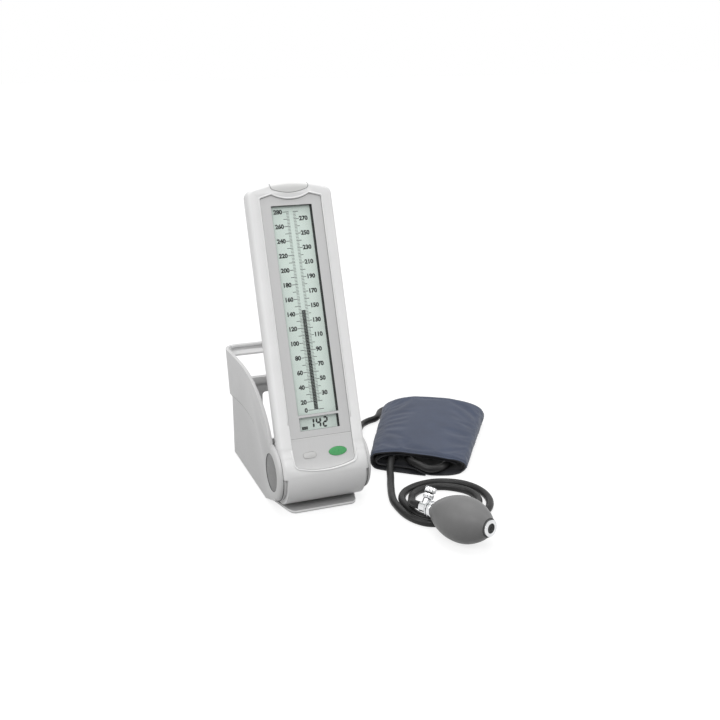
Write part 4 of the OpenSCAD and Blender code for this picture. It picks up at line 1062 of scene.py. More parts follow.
@dataclass
class Studio:
    """Plain pale floor, white surroundings and soft lamps.

    Attributes:
        world_light: Brightness of the surroundings as light.
        floor_shade: How much of its light the floor gives back.
        floor_reach: Half the floor's width in metres.
        glow: Extra brightness of the floor to the camera, close to the object and far from it.
        glow_reach: Where these two hold, in metres from the middle.
        lamps: The lamps.
    """

    world_light: float = 0.37
    floor_shade: float = 0.3
    floor_reach: float = 9.0
    glow: Flat = (0.78, 1.0)
    glow_reach: Flat = (0.45, 2.2)
    lamps: tuple[SoftLamp, ...] = (
        SoftLamp("front_lamp", (-0.7, -1.4, 1.7), (0.05, 0.0, 0.14), (1.1, 0.9), 16.4),
        SoftLamp("top_lamp", (0.2, 0.3, 1.9), (0.06, 0.05, 0.0), (1.5, 1.3), 16.0),
        SoftLamp("left_lamp", (-1.7, -0.1, 1.1), (-0.05, 0.05, 0.2), (1.0, 1.0), 8.0),
        SoftLamp("right_lamp", (1.6, -0.4, 1.2), (0.1, 0.0, 0.1), (0.8, 0.9), 6.0),
    )

    def build(self) -> None:
        """Makes the world, the floor and the lamps."""
        self.surround()
        self.floor()
        for lamp in self.lamps:
            lamp.build()
        bpy.context.scene.view_settings.view_transform = "Standard"

    def surround(self) -> None:
        """White world to the camera and in reflections, and a softer one as light."""
        world = bpy.data.worlds.new("studio")
        world.use_nodes = True
        bpy.context.scene.world = world
        sheet = NodeSheet(world.node_tree)
        light, shown = (sheet.add("ShaderNodeBackground", {"Color": (1, 1, 1, 1), "Strength": strength})
                        for strength in (self.world_light, 1.0))
        mix = sheet.add("ShaderNodeMixShader", {0: sheet.seen(), 1: light.outputs[0], 2: shown.outputs[0]})
        sheet.add("ShaderNodeOutputWorld", {"Surface": mix.outputs[0]})

    def floor(self) -> None:
        """A wide pale floor that keeps the object's shadow and fades to white."""
        far = self.floor_reach
        mesh = bpy.data.meshes.new("floor")
        square = [(-far, -far, 0), (far, -far, 0), (far, far, 0), (-far, far, 0)]
        mesh.from_pydata(square, [], [(0, 1, 2, 3)])
        floor = bpy.data.objects.new("floor", mesh)
        bpy.context.scene.collection.objects.link(floor)
        sheet = ShaderSheet("floor_paper", Roughness=0.9, Specular_IOR_Level=0.1,
                            Emission_Color=(1, 1, 1, 1))
        low, high = (self.floor_shade * 0.99,) * 3, (self.floor_shade,) * 3
        sheet.feed(sheet.tint(sheet.cloud(400, 2), low, high), "Base Color")
        reach = sheet.add("ShaderNodeVectorMath", {0: sheet.here}, operation="LENGTH").outputs["Value"]
        glow = sheet.spread(reach, *self.glow, *self.glow_reach)
        sheet.feed(sheet.maths("MULTIPLY", sheet.seen(), glow), "Emission Strength")
        mesh.materials.append(sheet.material)


# Hoses


@dataclass
class Hoses:
    """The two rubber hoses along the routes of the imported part, in millimetres.

    Attributes:
        diameter: Their outer diameter.
        lie: Height of their middle line where they lie on the table, and of the points without one.
        gauge_route: From the port to the cuff.
        bulb_route: From the cuff to the valve.
    """

    diameter: float = 8.0
    lie: float = 4.1
    gauge_route: tuple[tuple[float, ...], ...] = (
        (54, 130, 24), (66, 130, 24), (78, 132, 21), (89, 138, 15.5), (99, 148, 9.5), (108, 160, 5.2),
        (116, 172), (127, 180), (139, 185), (147, 194), (154, 205), (166, 212), (181, 214.6),
        (197, 213.7), (213, 209), (226, 199, 4.6), (234, 185, 5.8), (236, 169, 7), (231, 153, 7.9),
        (222, 137, 7.9), (202, 101, 7.9), (183, 65, 7.9), (165, 30, 7.9), (157, 20, 7.9),
        (146, 13, 7.9), (134, 14, 8.4), (125, 22, 11.2), (120, 33, 12.4), (122, 42, 12.4),
        (126, 49, 12.4))
    bulb_route: tuple[tuple[float, ...], ...] = (
        (106, 52, 12.4), (102, 45, 12.4), (97, 36, 10.8), (93, 27, 7.2), (89, 16, 4.5), (84, 4),
        (79, -9), (74, -23), (70, -38), (69, -54), (70, -69), (74, -82), (81, -92), (91, -97.5),
        (104, -99), (118, -99), (132, -98), (146, -93), (157, -83), (164, -69), (166, -53), (163, -38),
        (155, -25), (143, -16), (129, -11), (114, -11), (100, -15), (88, -23), (80, -36), (78, -51),
        (79, -65), (82, -77), (89, -85), (101, -88.5), (115, -89), (129, -86), (143, -79), (152, -69),
        (155, -56), (152, -42), (143, -31), (131, -23), (117, -21), (104, -24), (94, -32, 4.3),
        (88, -43, 6.4), (83, -54, 10), (78, -64, 14), (76.8, -73, 16.8), (79.3, -80.8, 17.95))

    def build(self, shop: Workshop) -> None:
        """Args:
            shop: The workshop.
        """
        for name, node, route in (("air_hose", "gauge_hose", self.gauge_route),
                                  ("squeeze_hose", "bulb_hose", self.bulb_route)):
            line = smooth_path([(*p, self.lie)[:3] for p in route], 5, MM)
            curve = bpy.data.curves.new(name, "CURVE")
            curve.dimensions = "3D"
            curve.bevel_depth = self.diameter / 2 * MM
            curve.bevel_resolution = 6
            curve.use_fill_caps = True
            spline = curve.splines.new("POLY")
            spline.points.add(len(line) - 1)
            for point, spot in zip(spline.points, line):
                point.co = (*spot, 1)
            spline.use_smooth = True
            piece = bpy.data.objects.new(name, curve)
            bpy.context.scene.collection.objects.link(piece)
            curve.materials.append(shop.paint(Finish.HOSE))
            shop.seat(piece, Body.STAND, "hose_rubber", node)


# Column


@dataclass
class Column:
    """The tilting column. Lengths are in millimetres: x across, u up its front and w forward.

    Attributes:
        lean: Its lean back from upright, in degrees.
        hub_z: Height of the tilt axis.
        print_w: Level of the printed marks.
        print_t: Their thickness.
        zero_u: Height of the scale's 0.
        twenty_u: Height of its 20.
        step_u: Height of each 20 above that.
        bar_x: Middle of the bar.
        bar_half: Half its width.
        window_half: Half the scale window's width.
        window_u: Its lower and upper edge.
        reading_u: The same of the reading's window.
        lens_top_w: Level of the clear window's face.
        film_w: Level of the films' face.
        mask_w: Levels of the black mask.
        mask_half: Half its width.
        mask_u: Its lower and upper edge.
        rim: How far in and down the front's rounded edge reaches.
        film_half: Half the films' width.
        film_top: Their upper edge.
        film_low: Their lower edge.
        film_arc: Radius of that edge.
        split_u: Height of the seam between them.
        key_half: Half the top key's width.
        key_low: Its lower edge.
    """

    lean: float = 21.3
    hub_z: float = 40.0
    print_w: float = 23.215
    print_t: float = 0.02
    zero_u: float = 57.7
    twenty_u: float = 66.0
    step_u: float = 14.93
    bar_x: float = -0.25
    bar_half: float = 2.05
    window_half: float = 21.5
    window_u: Flat = (53.6, 266.0)
    reading_u: Flat = (37.8, 51.1)
    lens_top_w: float = 24.62
    film_w: float = 27.36
    mask_w: Flat = (23.3, 23.38)
    mask_half: float = 23.3
    mask_u: Flat = (36.7, 267.3)
    rim: Flat = (4.2, 6.6)
    film_half: float = 32.2
    film_top: float = 277.4
    film_low: float = -2.4
    film_arc: float = 98.0
    split_u: float = 30.9
    key_half: float = 20.0
    key_low: float = 279.0

    def __post_init__(self) -> None:
        """Works out the map from the column's lengths into the part's frame."""
        s, c = math.sin(math.radians(self.lean)), math.cos(math.radians(self.lean))
        leant = Matrix(((1, 0, 0, 0), (0, s, -c, 0), (0, c, s, 0), (0, 0, 0, 1)))
        self.place = Matrix.Translation((0, 0, self.hub_z * MM)) @ leant @ Matrix.Scale(MM, 4)

    def at(self, value: float) -> float:
        """Height up the column of a value on the scale.

        Args:
            value: The value.

        Returns:
            The height.
        """
        if value < 20:
            return self.zero_u + (self.twenty_u - self.zero_u) * value / 20
        return self.twenty_u + (value - 20) / 20 * self.step_u

    def build(self, shop: Workshop) -> None:
        """Builds everything on the column.

        Args:
            shop: The workshop.
        """
        self.housings(shop)
        self.liners(shop)
        self.scale(shop)
        self.numbers(shop)
        self.reading(shop)
        self.door_ribs(shop)
        self.trims(shop)

    def front(self, x: float, u: float) -> float:
        """How far forward the front of the column stands at a place on it.

        Args:
            x: Place across.
            u: Place up the column.

        Returns:
            The distance.
        """
        hub, blend, depth, least = 33.5, 30.0, 28.6, 0.02
        edge_arc, edge_u = 127.0, 164.0
        middle_w = depth + blend
        middle_u = math.sqrt((hub + blend) ** 2 - middle_w ** 2)
        if u < middle_u * hub / (hub + blend):
            return math.sqrt(hub ** 2 - u ** 2)
        if u < middle_u:
            return middle_w - math.sqrt(blend ** 2 - (middle_u - u) ** 2)
        inset = min(self.rim[0], max(least, edge_arc - math.hypot(x, u - edge_u)))
        return depth - self.rim[1] * (1 - math.cos(math.asin(1 - inset / self.rim[0])))

    def outline(self, out: float) -> list[Flat]:
        """Outline of the two films together, moved outwards.

        Args:
            out: How far it is moved.

        Returns:
            Its points.
        """
        half, top, radius = self.film_half + out, self.film_top + out, self.film_arc + out
        dip, play, side_gap, corner, shoulder = 5.4, 0.2, 3.0, 4.0, 4.2
        low_cut, high_cut = (0.9, 2.8), (0.7, 0.8)
        middle = self.film_low + self.film_arc
        turn = math.degrees(math.asin((half - side_gap) / radius))
        foot = middle - self.film_arc * math.cos(math.radians(turn))
        reach = self.key_half - play
        notch = (reach ** 2 + dip ** 2) / (2 * dip)
        swing = math.degrees(math.asin(reach / notch))
        low, high = foot + corner, top - shoulder
        side = [low + (high - low) * k / 40 for k in range(1, 40)]
        foot_cut, foot_u = half - low_cut[0], low - low_cut[1]
        head_cut, head_u = half - high_cut[0], high + high_cut[1]
        return [(-half, low), (-foot_cut, foot_u), *arc(0, middle, radius, 270 - turn, 270 + turn, 24),
                (foot_cut, foot_u), (half, low), *[(half, u) for u in side], (half, high),
                (head_cut, head_u), *arc(0, top - dip + notch, notch, 270 + swing, 270 - swing, 20),
                (-head_cut, head_u), (-half, high), *[(-half, u) for u in reversed(side)]]

    def key_line(self) -> list[Flat]:
        """The seam round the lower corners of the top key.

        Returns:
            Its points.
        """
        corner, radius, tall = 4.0, 44.0, 3.1
        side = self.key_half - corner
        turn = math.degrees(math.asin(side / radius))
        foot = self.key_low + radius - math.sqrt(radius ** 2 - side ** 2) + corner
        rise = [foot + tall * k / 6 for k in range(1, 7)]
        return [*[(-self.key_half, u) for u in reversed(rise)],
                *arc(-side, foot, corner, 180, 270 - turn, 6),
                *arc(0, self.key_low + radius, radius, 270 - turn, 270 + turn, 16)[1:-1],
                *arc(side, foot, corner, turn - 90, 0, 6), *[(self.key_half, u) for u in rise]]

    def trims(self, shop: Workshop) -> None:
        """The raised rim round the films, and dark beads that paint the shade in the seams round them and
        round the top key.

        Args:
            shop: The workshop.
        """

        def lay(flat: Sequence[Flat], sink: float, level: float | None = None) -> list[Vector]:
            """Puts a flat line on the column's front, or on a level."""
            return [self.place @ Vector((x, u, (self.front(x, u) if level is None else level) - sink))
                    for x, u in flat]

        film, half = self.film_w, self.film_half - 0.4
        cross = [[(-half, self.split_u + d), (half, self.split_u + d)] for d in (0.1, -0.75)]
        # The seam beads are painted shade: dark lines in the gaps round the films and the top key.
        for name, line, radius, finish, slot, closed, sides in (
                ("film_rim", lay(self.outline(0.92), 0.36), 0.92, Finish.WHITE, "white_plastic", True, 12),
                ("film_seam_shade", lay(self.outline(-0.12), 0, film), 0.26, Finish.SEAM, "components", True, 8),
                ("split_seam_shade", lay(cross[0], 0.1, film), 0.24, Finish.SEAM, "components", False, 8),
                ("split_rim", lay(cross[1], 0.1, film), 0.3, Finish.KEY_WHITE, "components", False, 8),
                ("top_key_seam_shade", lay(self.key_line(), -0.02), 0.3, Finish.SEAM, "components", False, 8)):
            piece = bead(shop, name, [line], radius * MM, finish, closed, sides)
            shop.seat(piece, Body.COLUMN, slot)

    def housings(self, shop: Workshop) -> None:
        """Shells, films, glass, the three keys with soft edges, and what lies inside.

        Args:
            shop: The workshop.
        """
        shop.softened("front_shell", "front_housing", 0.0004, Finish.WHITE, Body.COLUMN, "white_plastic")
        shop.softened("rear_shell", "rear_housing", 0.0004, Finish.WHITE, Body.COLUMN, "white_plastic")
        shop.softened("power_key", "top_key", 0.0004, Finish.KEY_WHITE, Body.POWER_KEY, "key_white")
        for node, name, finish, body, slot in (
                ("mark_button", "white_button", Finish.KEY_PALE, Body.MARK_BUTTON, "key_white"),
                ("count_button", "green_button", Finish.GREEN, Body.COUNT_BUTTON, "green_key")):
            shop.softened(node, name, 0.0005, finish, body, slot, 3)
        shop.dress(Finish.FILM, "display_fascia")
        shop.dress(Finish.KEY_FILM, "key_fascia")
        shop.dress(Finish.WINDOW, "display_lens")
        shop.dress(Finish.CRYSTAL, "scale_display", "digit_display")
        shop.dress(Finish.WHITE, "display_frame", "battery_tray")
        shop.dress(Finish.BOARD, "main_board", "key_board", "sensor_board")
        shop.dress(Finish.PARTS, "board_parts", "key_switches", "buzzer", "pressure_sensor")
        shop.dress(Finish.STRIP, "contact_strips")
        shop.dress(Finish.JACKET, "battery_cells")
        shop.dress(Finish.STEEL, "battery_contacts", "shell_screws", "board_screws")

    def liners(self, shop: Workshop) -> None:
        """Dark walls around the two windows, painted shade for the shadow in their recesses, and the black
        mask under the clear window.

        Args:
            shop: The workshop.
        """
        thick, sink, left_cover = 0.1, 0.12, 0.7
        for name, half, (u0, u1) in (("scale_window_shade", self.window_half, self.window_u),
                                     ("reading_window_shade", self.window_half - left_cover, self.reading_u)):
            # The dark walls paint the shade on the recess walls of each window.
            line = [(-half, u0), (half, u0), (half, u1), (-half, u1)]
            levels = (self.lens_top_w, self.film_w - sink)
            piece = ring_sweep(shop, name, line, thick, levels, self.place, Finish.LINER)
            shop.seat(piece, Body.COLUMN, "components")
        low, high = self.mask_u
        wide, near = self.mask_half, self.window_half
        first, last = self.reading_u
        start, end = self.window_u
        # On the right the mask reaches into both windows as a dark strip of painted shade from the recess
        # wall.
        reading_right, scale_right = near - 1.9, near - 1.3
        panes = [(-wide, low, wide, first), (-wide, first, -near + left_cover, last),
                 (reading_right, first, wide, last), (-wide, last, wide, start), (-wide, start, -near, end),
                 (scale_right, start, wide, end), (-wide, end, wide, high)]
        points: list[Point] = []
        faces: list[tuple[int, ...]] = []
        for x0, u0, x1, u1 in panes:
            base = len(points)
            points += [(x, u, w) for w in self.mask_w for x, u in ((x0, u0), (x1, u0), (x1, u1), (x0, u1))]
            faces += [tuple(base + k for k in side) for side in (
                (3, 2, 1, 0), (4, 5, 6, 7), (0, 1, 5, 4), (1, 2, 6, 5), (2, 3, 7, 6), (3, 0, 4, 7))]
        piece = shop.solid("window_mask", points, faces, Finish.LINER, self.place)
        shop.seat(piece, Body.COLUMN, "components")

    def scale(self, shop: Workshop) -> None:
        """Ticks on both sides of the bar, and the bar's segments.

        Args:
            shop: The workshop.
        """
        fine, ten, apart = self.step_u / 10, self.step_u / 2, 10.3
        bar = (2 * self.bar_half, fine - 0.12)
        twenty = self.at(20)
        rows = (
            ("left_fine_ticks", 131, (2.9, 0.4), (-3.9, twenty), fine, Finish.FAINT_INK),
            ("right_fine_ticks", 131, (2.9, 0.4), (3.35, twenty), fine, Finish.FAINT_INK),
            ("left_ten_ticks", 27, (6.5, 0.58), (-5.7, twenty), ten, Finish.INK),
            ("right_ten_ticks", 27, (5.5, 0.58), (4.65, twenty), ten, Finish.INK),
            ("zero_ticks", 2, (6.2, 0.58), (-5.6, self.zero_u), 0.0, Finish.INK),
            ("level_bar", 68, bar, (self.bar_x, self.zero_u + 0.6), fine, Finish.INK),
        )
        for name, number, size, start, step, finish in rows:
            move = (0, step, 0) if step else (apart, 0, 0)
            piece = MarkRow.make(shop, name, number, (*size, self.print_t), (*start, self.print_w), move,
                                 self.place, finish)
            shop.seat(piece, Body.COLUMN, "display")

    def numbers(self, shop: Workshop) -> None:
        """The plain numbers beside the scale, as one mesh.

        Args:
            shop: The workshop.
        """
        joined = bmesh.new()
        left, right = -9.5, 7.7
        labels = [(str(v), left, self.at(v), "RIGHT") for v in range(20, 281, 20)]
        labels += [("0", left, self.zero_u, "RIGHT")]
        labels += [(str(v), right, self.at(v), "LEFT") for v in range(30, 271, 20)]
        for text, x, u, side in labels:
            font = bpy.data.curves.new("number", "FONT")
            font.body, font.size, font.offset, font.resolution_u = text, 6.0, 0.32, 3
            font.align_x, font.align_y = side, "CENTER"
            carrier = bpy.data.objects.new("number", font)
            bpy.context.scene.collection.objects.link(carrier)
            graph = bpy.context.evaluated_depsgraph_get()
            mesh = bpy.data.meshes.new_from_object(carrier.evaluated_get(graph), depsgraph=graph)
            mesh.transform(Matrix.Translation((x, u, self.print_w)))
            joined.from_mesh(mesh)
            bpy.data.objects.remove(carrier)
            bpy.data.curves.remove(font)
            bpy.data.meshes.remove(mesh)
        mesh = bpy.data.meshes.new("scale_numbers")
        joined.to_mesh(mesh)
        joined.free()
        mesh.transform(self.place)
        shop.seat(shop.link("scale_numbers", mesh, Finish.INK), Body.COLUMN, "display")

    def reading(self, shop: Workshop) -> None:
        """The seven-segment reading and the cell mark, as flat closed strokes.

        Args:
            shop: The workshop.
        """
        segments = {"1": "bc", "4": "bcfg", "2": "abdeg"}
        wide, tall, bar, gap, slant = 5.9, 11.0, 1.9, 0.1, 0.06
        points: list[Point] = []
        faces: list[tuple[int, ...]] = []

        def stroke(x0: float, u0: float, x1: float, u1: float, left: float, low: float) -> None:
            """Adds one pointed stroke of the digit whose corner is at left and low.

            Args:
                x0: Where it starts, across.
                u0: Where it starts, up.
                x1: Where it ends, across.
                u1: Where it ends, up.
                left: The digit's left edge.
                low: The digit's foot.
            """
            along = Vector((x1 - x0, u1 - u0)).normalized()
            side = Vector((-along.y, along.x)) * bar / 2
            a, b = Vector((x0, u0)) + along * gap, Vector((x1, u1)) - along * gap
            line = [a, a + along * bar / 2 + side, b - along * bar / 2 + side, b,
                    b - along * bar / 2 - side, a + along * bar / 2 - side]
            base = len(points)
            points.extend((left + p.x + slant * p.y, low + p.y, self.print_w) for p in line)
            faces.append(tuple(range(base, base + 6)))

        x0, x1 = bar / 2, wide - bar / 2
        u0, u1, u2 = bar / 2, tall / 2, tall - bar / 2
        spots = {"a": (x0, u2, x1, u2), "b": (x1, u1, x1, u2), "c": (x1, u0, x1, u1), "d": (x0, u0, x1, u0),
                 "e": (x0, u0, x0, u1), "f": (x0, u1, x0, u2), "g": (x0, u1, x1, u1)}
        for digit, left in (("1", -10.3), ("4", -3.1), ("2", 4.1)):
            for key in segments[digit]:
                stroke(*spots[key], left, self.reading_u[0] + 1.1)
        cell_w, cell_h, pitch = 1.95, 3.1, 2.1
        for i in range(3):
            base = len(points)
            x, u = -17.8 + i * pitch, self.reading_u[0] + 1.0
            corners = ((x, u), (x + cell_w, u), (x + cell_w, u + cell_h), (x, u + cell_h))
            points += [(*corner, self.print_w) for corner in corners]
            faces.append(tuple(range(base, base + 4)))
        piece = shop.solid("reading_strokes", points, faces, Finish.INK, self.place)
        shop.seat(piece, Body.COLUMN, "display")

    def door_ribs(self, shop: Workshop) -> None:
        """The battery door with its grip ribs.

        Args:
            shop: The workshop.
        """
        shop.softened("battery_door", "cell_door", 0.0003, Finish.DOOR, Body.BATTERY_DOOR, "door_plastic")
        low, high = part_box("battery_door")
        LOG.info("door spans %s to %s", tuple(low), tuple(high))
        piece = MarkRow.make(shop, "door_ribs", 6, (18.0, 0.9, 0.5), (0, 138.0, 0.02), (0, 2.2, 0),
                             self.place, Finish.DOOR)
        shop.seat(piece, Body.BATTERY_DOOR, "door_plastic")


# Stand


@dataclass
class Stand:
    """The stand with its caps, base plate, feet and air line. Lengths are in millimetres.

    Attributes:
        hub_z: Height of the tilt axis.
        cheek_x: Outer face of the cheeks.
        gap_x: Middle of the gap between a cheek and its hub.
        crease: The crease on the right cheek, along which a dark bead paints its shade line.
        foot: Right half of the foot's front edge.
    """

    hub_z: float = 40.0
    cheek_x: float = 49.2
    gap_x: float = 44.8
    crease: tuple[Point, ...] = (
        (49.84, 156, 70.4), (49.78, 144, 71.8), (49.62, 132, 73), (49.4, 118, 74), (49.22, 104, 74.4),
        (49.2, 90, 74.4), (49.2, 78, 73.6), (49.2, 69, 72.2), (49.2, 62, 69.8))
    foot: tuple[Flat, ...] = ((45.7, 24), (41.7, 8), (38.9, -4), (36, -15), (33.6, -19.6), (30.4, -21.5))

    def trims(self, shop: Workshop) -> None:
        """Dark beads of painted shade in the gaps round the hubs and caps and along the crease on each
        cheek, and a light bead of painted highlight on the foot's front edge.

        Args:
            shop: The workshop.
        """
        sides = (-1, 1)

        def ring(x: float, radius: float) -> list[Vector]:
            """A circle about the hub's axis."""
            return [Vector((x, y, self.hub_z + z)) * MM for y, z in arc(0, 0, radius, 0, 357, 119)]

        # Dark rings that paint the shade in the gaps round the hubs and round the caps.
        for name, x, radius, thick in (("hub_gap_shade", self.gap_x, 29.35, 0.34),
                                       ("cap_gap_shade", self.cheek_x - 0.28, 19.66, 0.3)):
            rings = [ring(side * x, radius) for side in sides]
            piece = bead(shop, name, rings, thick * MM, Finish.LINER, True)
            shop.seat(piece, Body.STAND, "cap_grey")
        # A thin dark bead paints the shade line along each cheek's crease.
        lines = [smooth_path([(side * x, y, z) for x, y, z in self.crease], 4, MM) for side in sides]
        shop.seat(bead(shop, "cheek_crease_shadows", lines, 0.00016, Finish.CREASE), Body.STAND, "stand_plastic")
        # A light bead along the foot plate's front edge paints the highlight there.
        front = [(-x, y) for x, y in self.foot] + [(x, y) for x, y in reversed(self.foot)]
        line = [Vector((x * 0.985, y + 0.7, 2.5)) * MM for x, y in front]
        shop.seat(bead(shop, "foot_edge_highlight", [line], 0.00148, Finish.LIP, sides=12), Body.STAND, "plate_paint")

    def build(self, shop: Workshop) -> None:
        """Builds everything on the stand.

        Args:
            shop: The workshop.
        """
        self.trims(shop)
        for node, name, width, finish, slot in (
                ("stand_frame", "stand_housing", 0.5, Finish.STAND, "stand_plastic"),
                # The base plate's finish is its grey darkened as painted shade.
                ("base_plate", "foot_plate", 0.5, Finish.PLATE, "plate_paint"),
                ("hub_cap_left", "left_cap", 0.3, Finish.CAP, "cap_grey"),
                ("hub_cap_right", "right_cap", 0.3, Finish.CAP, "cap_grey"),
                ("rubber_feet", "soft_feet", 0.2, Finish.FOOT, "foot_rubber")):
            shop.softened(node, name, width * MM, finish, Body.STAND, slot)
        shop.dress(Finish.STEEL, "pivot_stub_left", "pivot_stub_right", "pivot_screws", "base_screws")
        shop.dress(Finish.FOOT, "friction_washers")
        shop.dress(Finish.CHROME, "air_port", "port_nut")
        shop.dress(Finish.CLEAR_TUBE, "air_tube")
        shop.dress(Finish.WHITE, "tube_clips")


# Bulb


@dataclass
class Bulb:
    """The squeeze bulb with its valve. Lengths are in millimetres.

    Attributes:
        at: Where its axis starts, at the neck.
        azimuth: Direction of the axis in degrees.
        elevation: Its rise in degrees.
        length: How far the rubber reaches.
        radius: Its largest radius.
        neck: Where the rubber starts.
        valve_at: Where the release screw's axis crosses.
        valve_turn: Its turn about the bulb's axis in degrees.
        shape: Share of the length and of the radius along the rubber.
        collar: The same along the collar.
    """

    at: Point = (84.8, -93.5, 19.2)
    azimuth: float = -66.6
    elevation: float = 5.1
    length: float = 74.4
    radius: float = 22.6
    neck: float = 5.4
    valve_at: float = -7.0
    valve_turn: float = 146.0
    shape: tuple[Flat, ...] = (
        (0.0, 0.3), (0.015, 0.35), (0.04, 0.42), (0.09, 0.535), (0.14, 0.635), (0.21, 0.755),
        (0.3, 0.87), (0.41, 0.962), (0.5, 0.998), (0.58, 1.0), (0.67, 0.962), (0.75, 0.885),
        (0.83, 0.77), (0.9, 0.635), (0.955, 0.49), (1.0, 0.37))
    collar: tuple[Flat, ...] = (
        (0.0, 0.8), (0.05, 0.96), (0.12, 1.0), (0.3, 1.0), (0.34, 0.84), (0.42, 0.84), (0.46, 1.0),
        (0.9, 1.0), (0.97, 0.95), (1.0, 0.88))

    def __post_init__(self) -> None:
        """Works out the maps from the bulb's axis and from the screw's into the part's frame."""
        turn = (Matrix.Rotation(math.radians(self.azimuth), 4, "Z")
                @ Matrix.Rotation(math.radians(90 - self.elevation), 4, "Y"))
        self.place = Matrix.Translation(Vector(self.at) * MM) @ turn @ Matrix.Scale(MM, 4)
        self.valve = (self.place @ Matrix.Translation((0, 0, self.valve_at))
                      @ Matrix.Rotation(math.radians(self.valve_turn), 4, "Z")
                      @ Matrix.Rotation(math.pi / 2, 4, "Y"))

    def build(self, shop: Workshop) -> None:
        """Builds the bulb, its collar and the screw, and dresses the other metal on it.

        Args:
            shop: The workshop.
        """
        start = self.place @ Matrix.Translation((0, 0, self.neck))
        size = (self.length - self.neck, self.radius)
        piece = turned(shop, "squeeze_bulb", self.shape, size, (72, 60), start, Finish.BULB)
        shop.seat(piece, Body.STAND, "bulb_rubber", "rubber_bulb")
        collar_from, collar_past, collar_radius = -2.0, 2.2, 7.9
        start = self.place @ Matrix.Translation((0, 0, collar_from))
        size = (self.neck + collar_past, collar_radius)
        piece = turned(shop, "bulb_collar", self.collar, size, (64, 60), start, Finish.CHROME, True)
        shop.seat(piece, Body.STAND, "chrome", "neck_ring")
        self.screw(shop)
        # Dark rings that paint the shade in the grooves at the end ring, round the inlet and at the collar.
        for name, radius, height, thick in (("end_ring_shade_line", 8.95, self.length - 0.45, 0.5),
                                            ("inlet_shade_line", 4.7, self.length + 1.9, 0.28),
                                            ("collar_shade_line", 6.9, 0.9, 0.35)):
            line = [self.place @ Vector((x, y, height)) for x, y in arc(0, 0, radius, 0, 354, 59)]
            shop.seat(bead(shop, name, [line], thick * MM, Finish.LINER, True), Body.STAND, "components")
        shop.dress(Finish.CHROME, "bulb_end_ring", "valve_body")
        # The intake valve takes the near-black finish as painted shade in the end ring's hole; the valve
        # packing takes it too.
        shop.dress(Finish.LINER, "intake_valve", "valve_packing")

    def screw(self, shop: Workshop) -> None:
        """The release screw with its two knurled heads, and the dark neck between them.

        Args:
            shop: The workshop.
        """
        back = self.valve.inverted()
        widening = ((9.0, 1.0), (9.4, 1.14), (40.0, 1.14))
        neck_radius, neck_lines = 3.75, (14.1, 14.9)
        piece = shop.softened("release_screw", "valve_screw", 0.00015, Finish.CHROME, Body.RELEASE_SCREW,
                              "chrome")
        for vertex in piece.data.vertices:
            own = back @ vertex.co
            grow = between(widening, own.z)
            vertex.co = self.valve @ Vector((own.x * grow, own.y * grow, own.z))
        circle = arc(0, 0, neck_radius, 0, 350, 35)
        lines = [[self.valve @ Vector((x, y, z)) for x, y in circle] for z in neck_lines]
        piece = bead(shop, "screw_neck", lines, 0.0005, Finish.LINER, True)
        shop.seat(piece, Body.RELEASE_SCREW, "components")


# Cuff


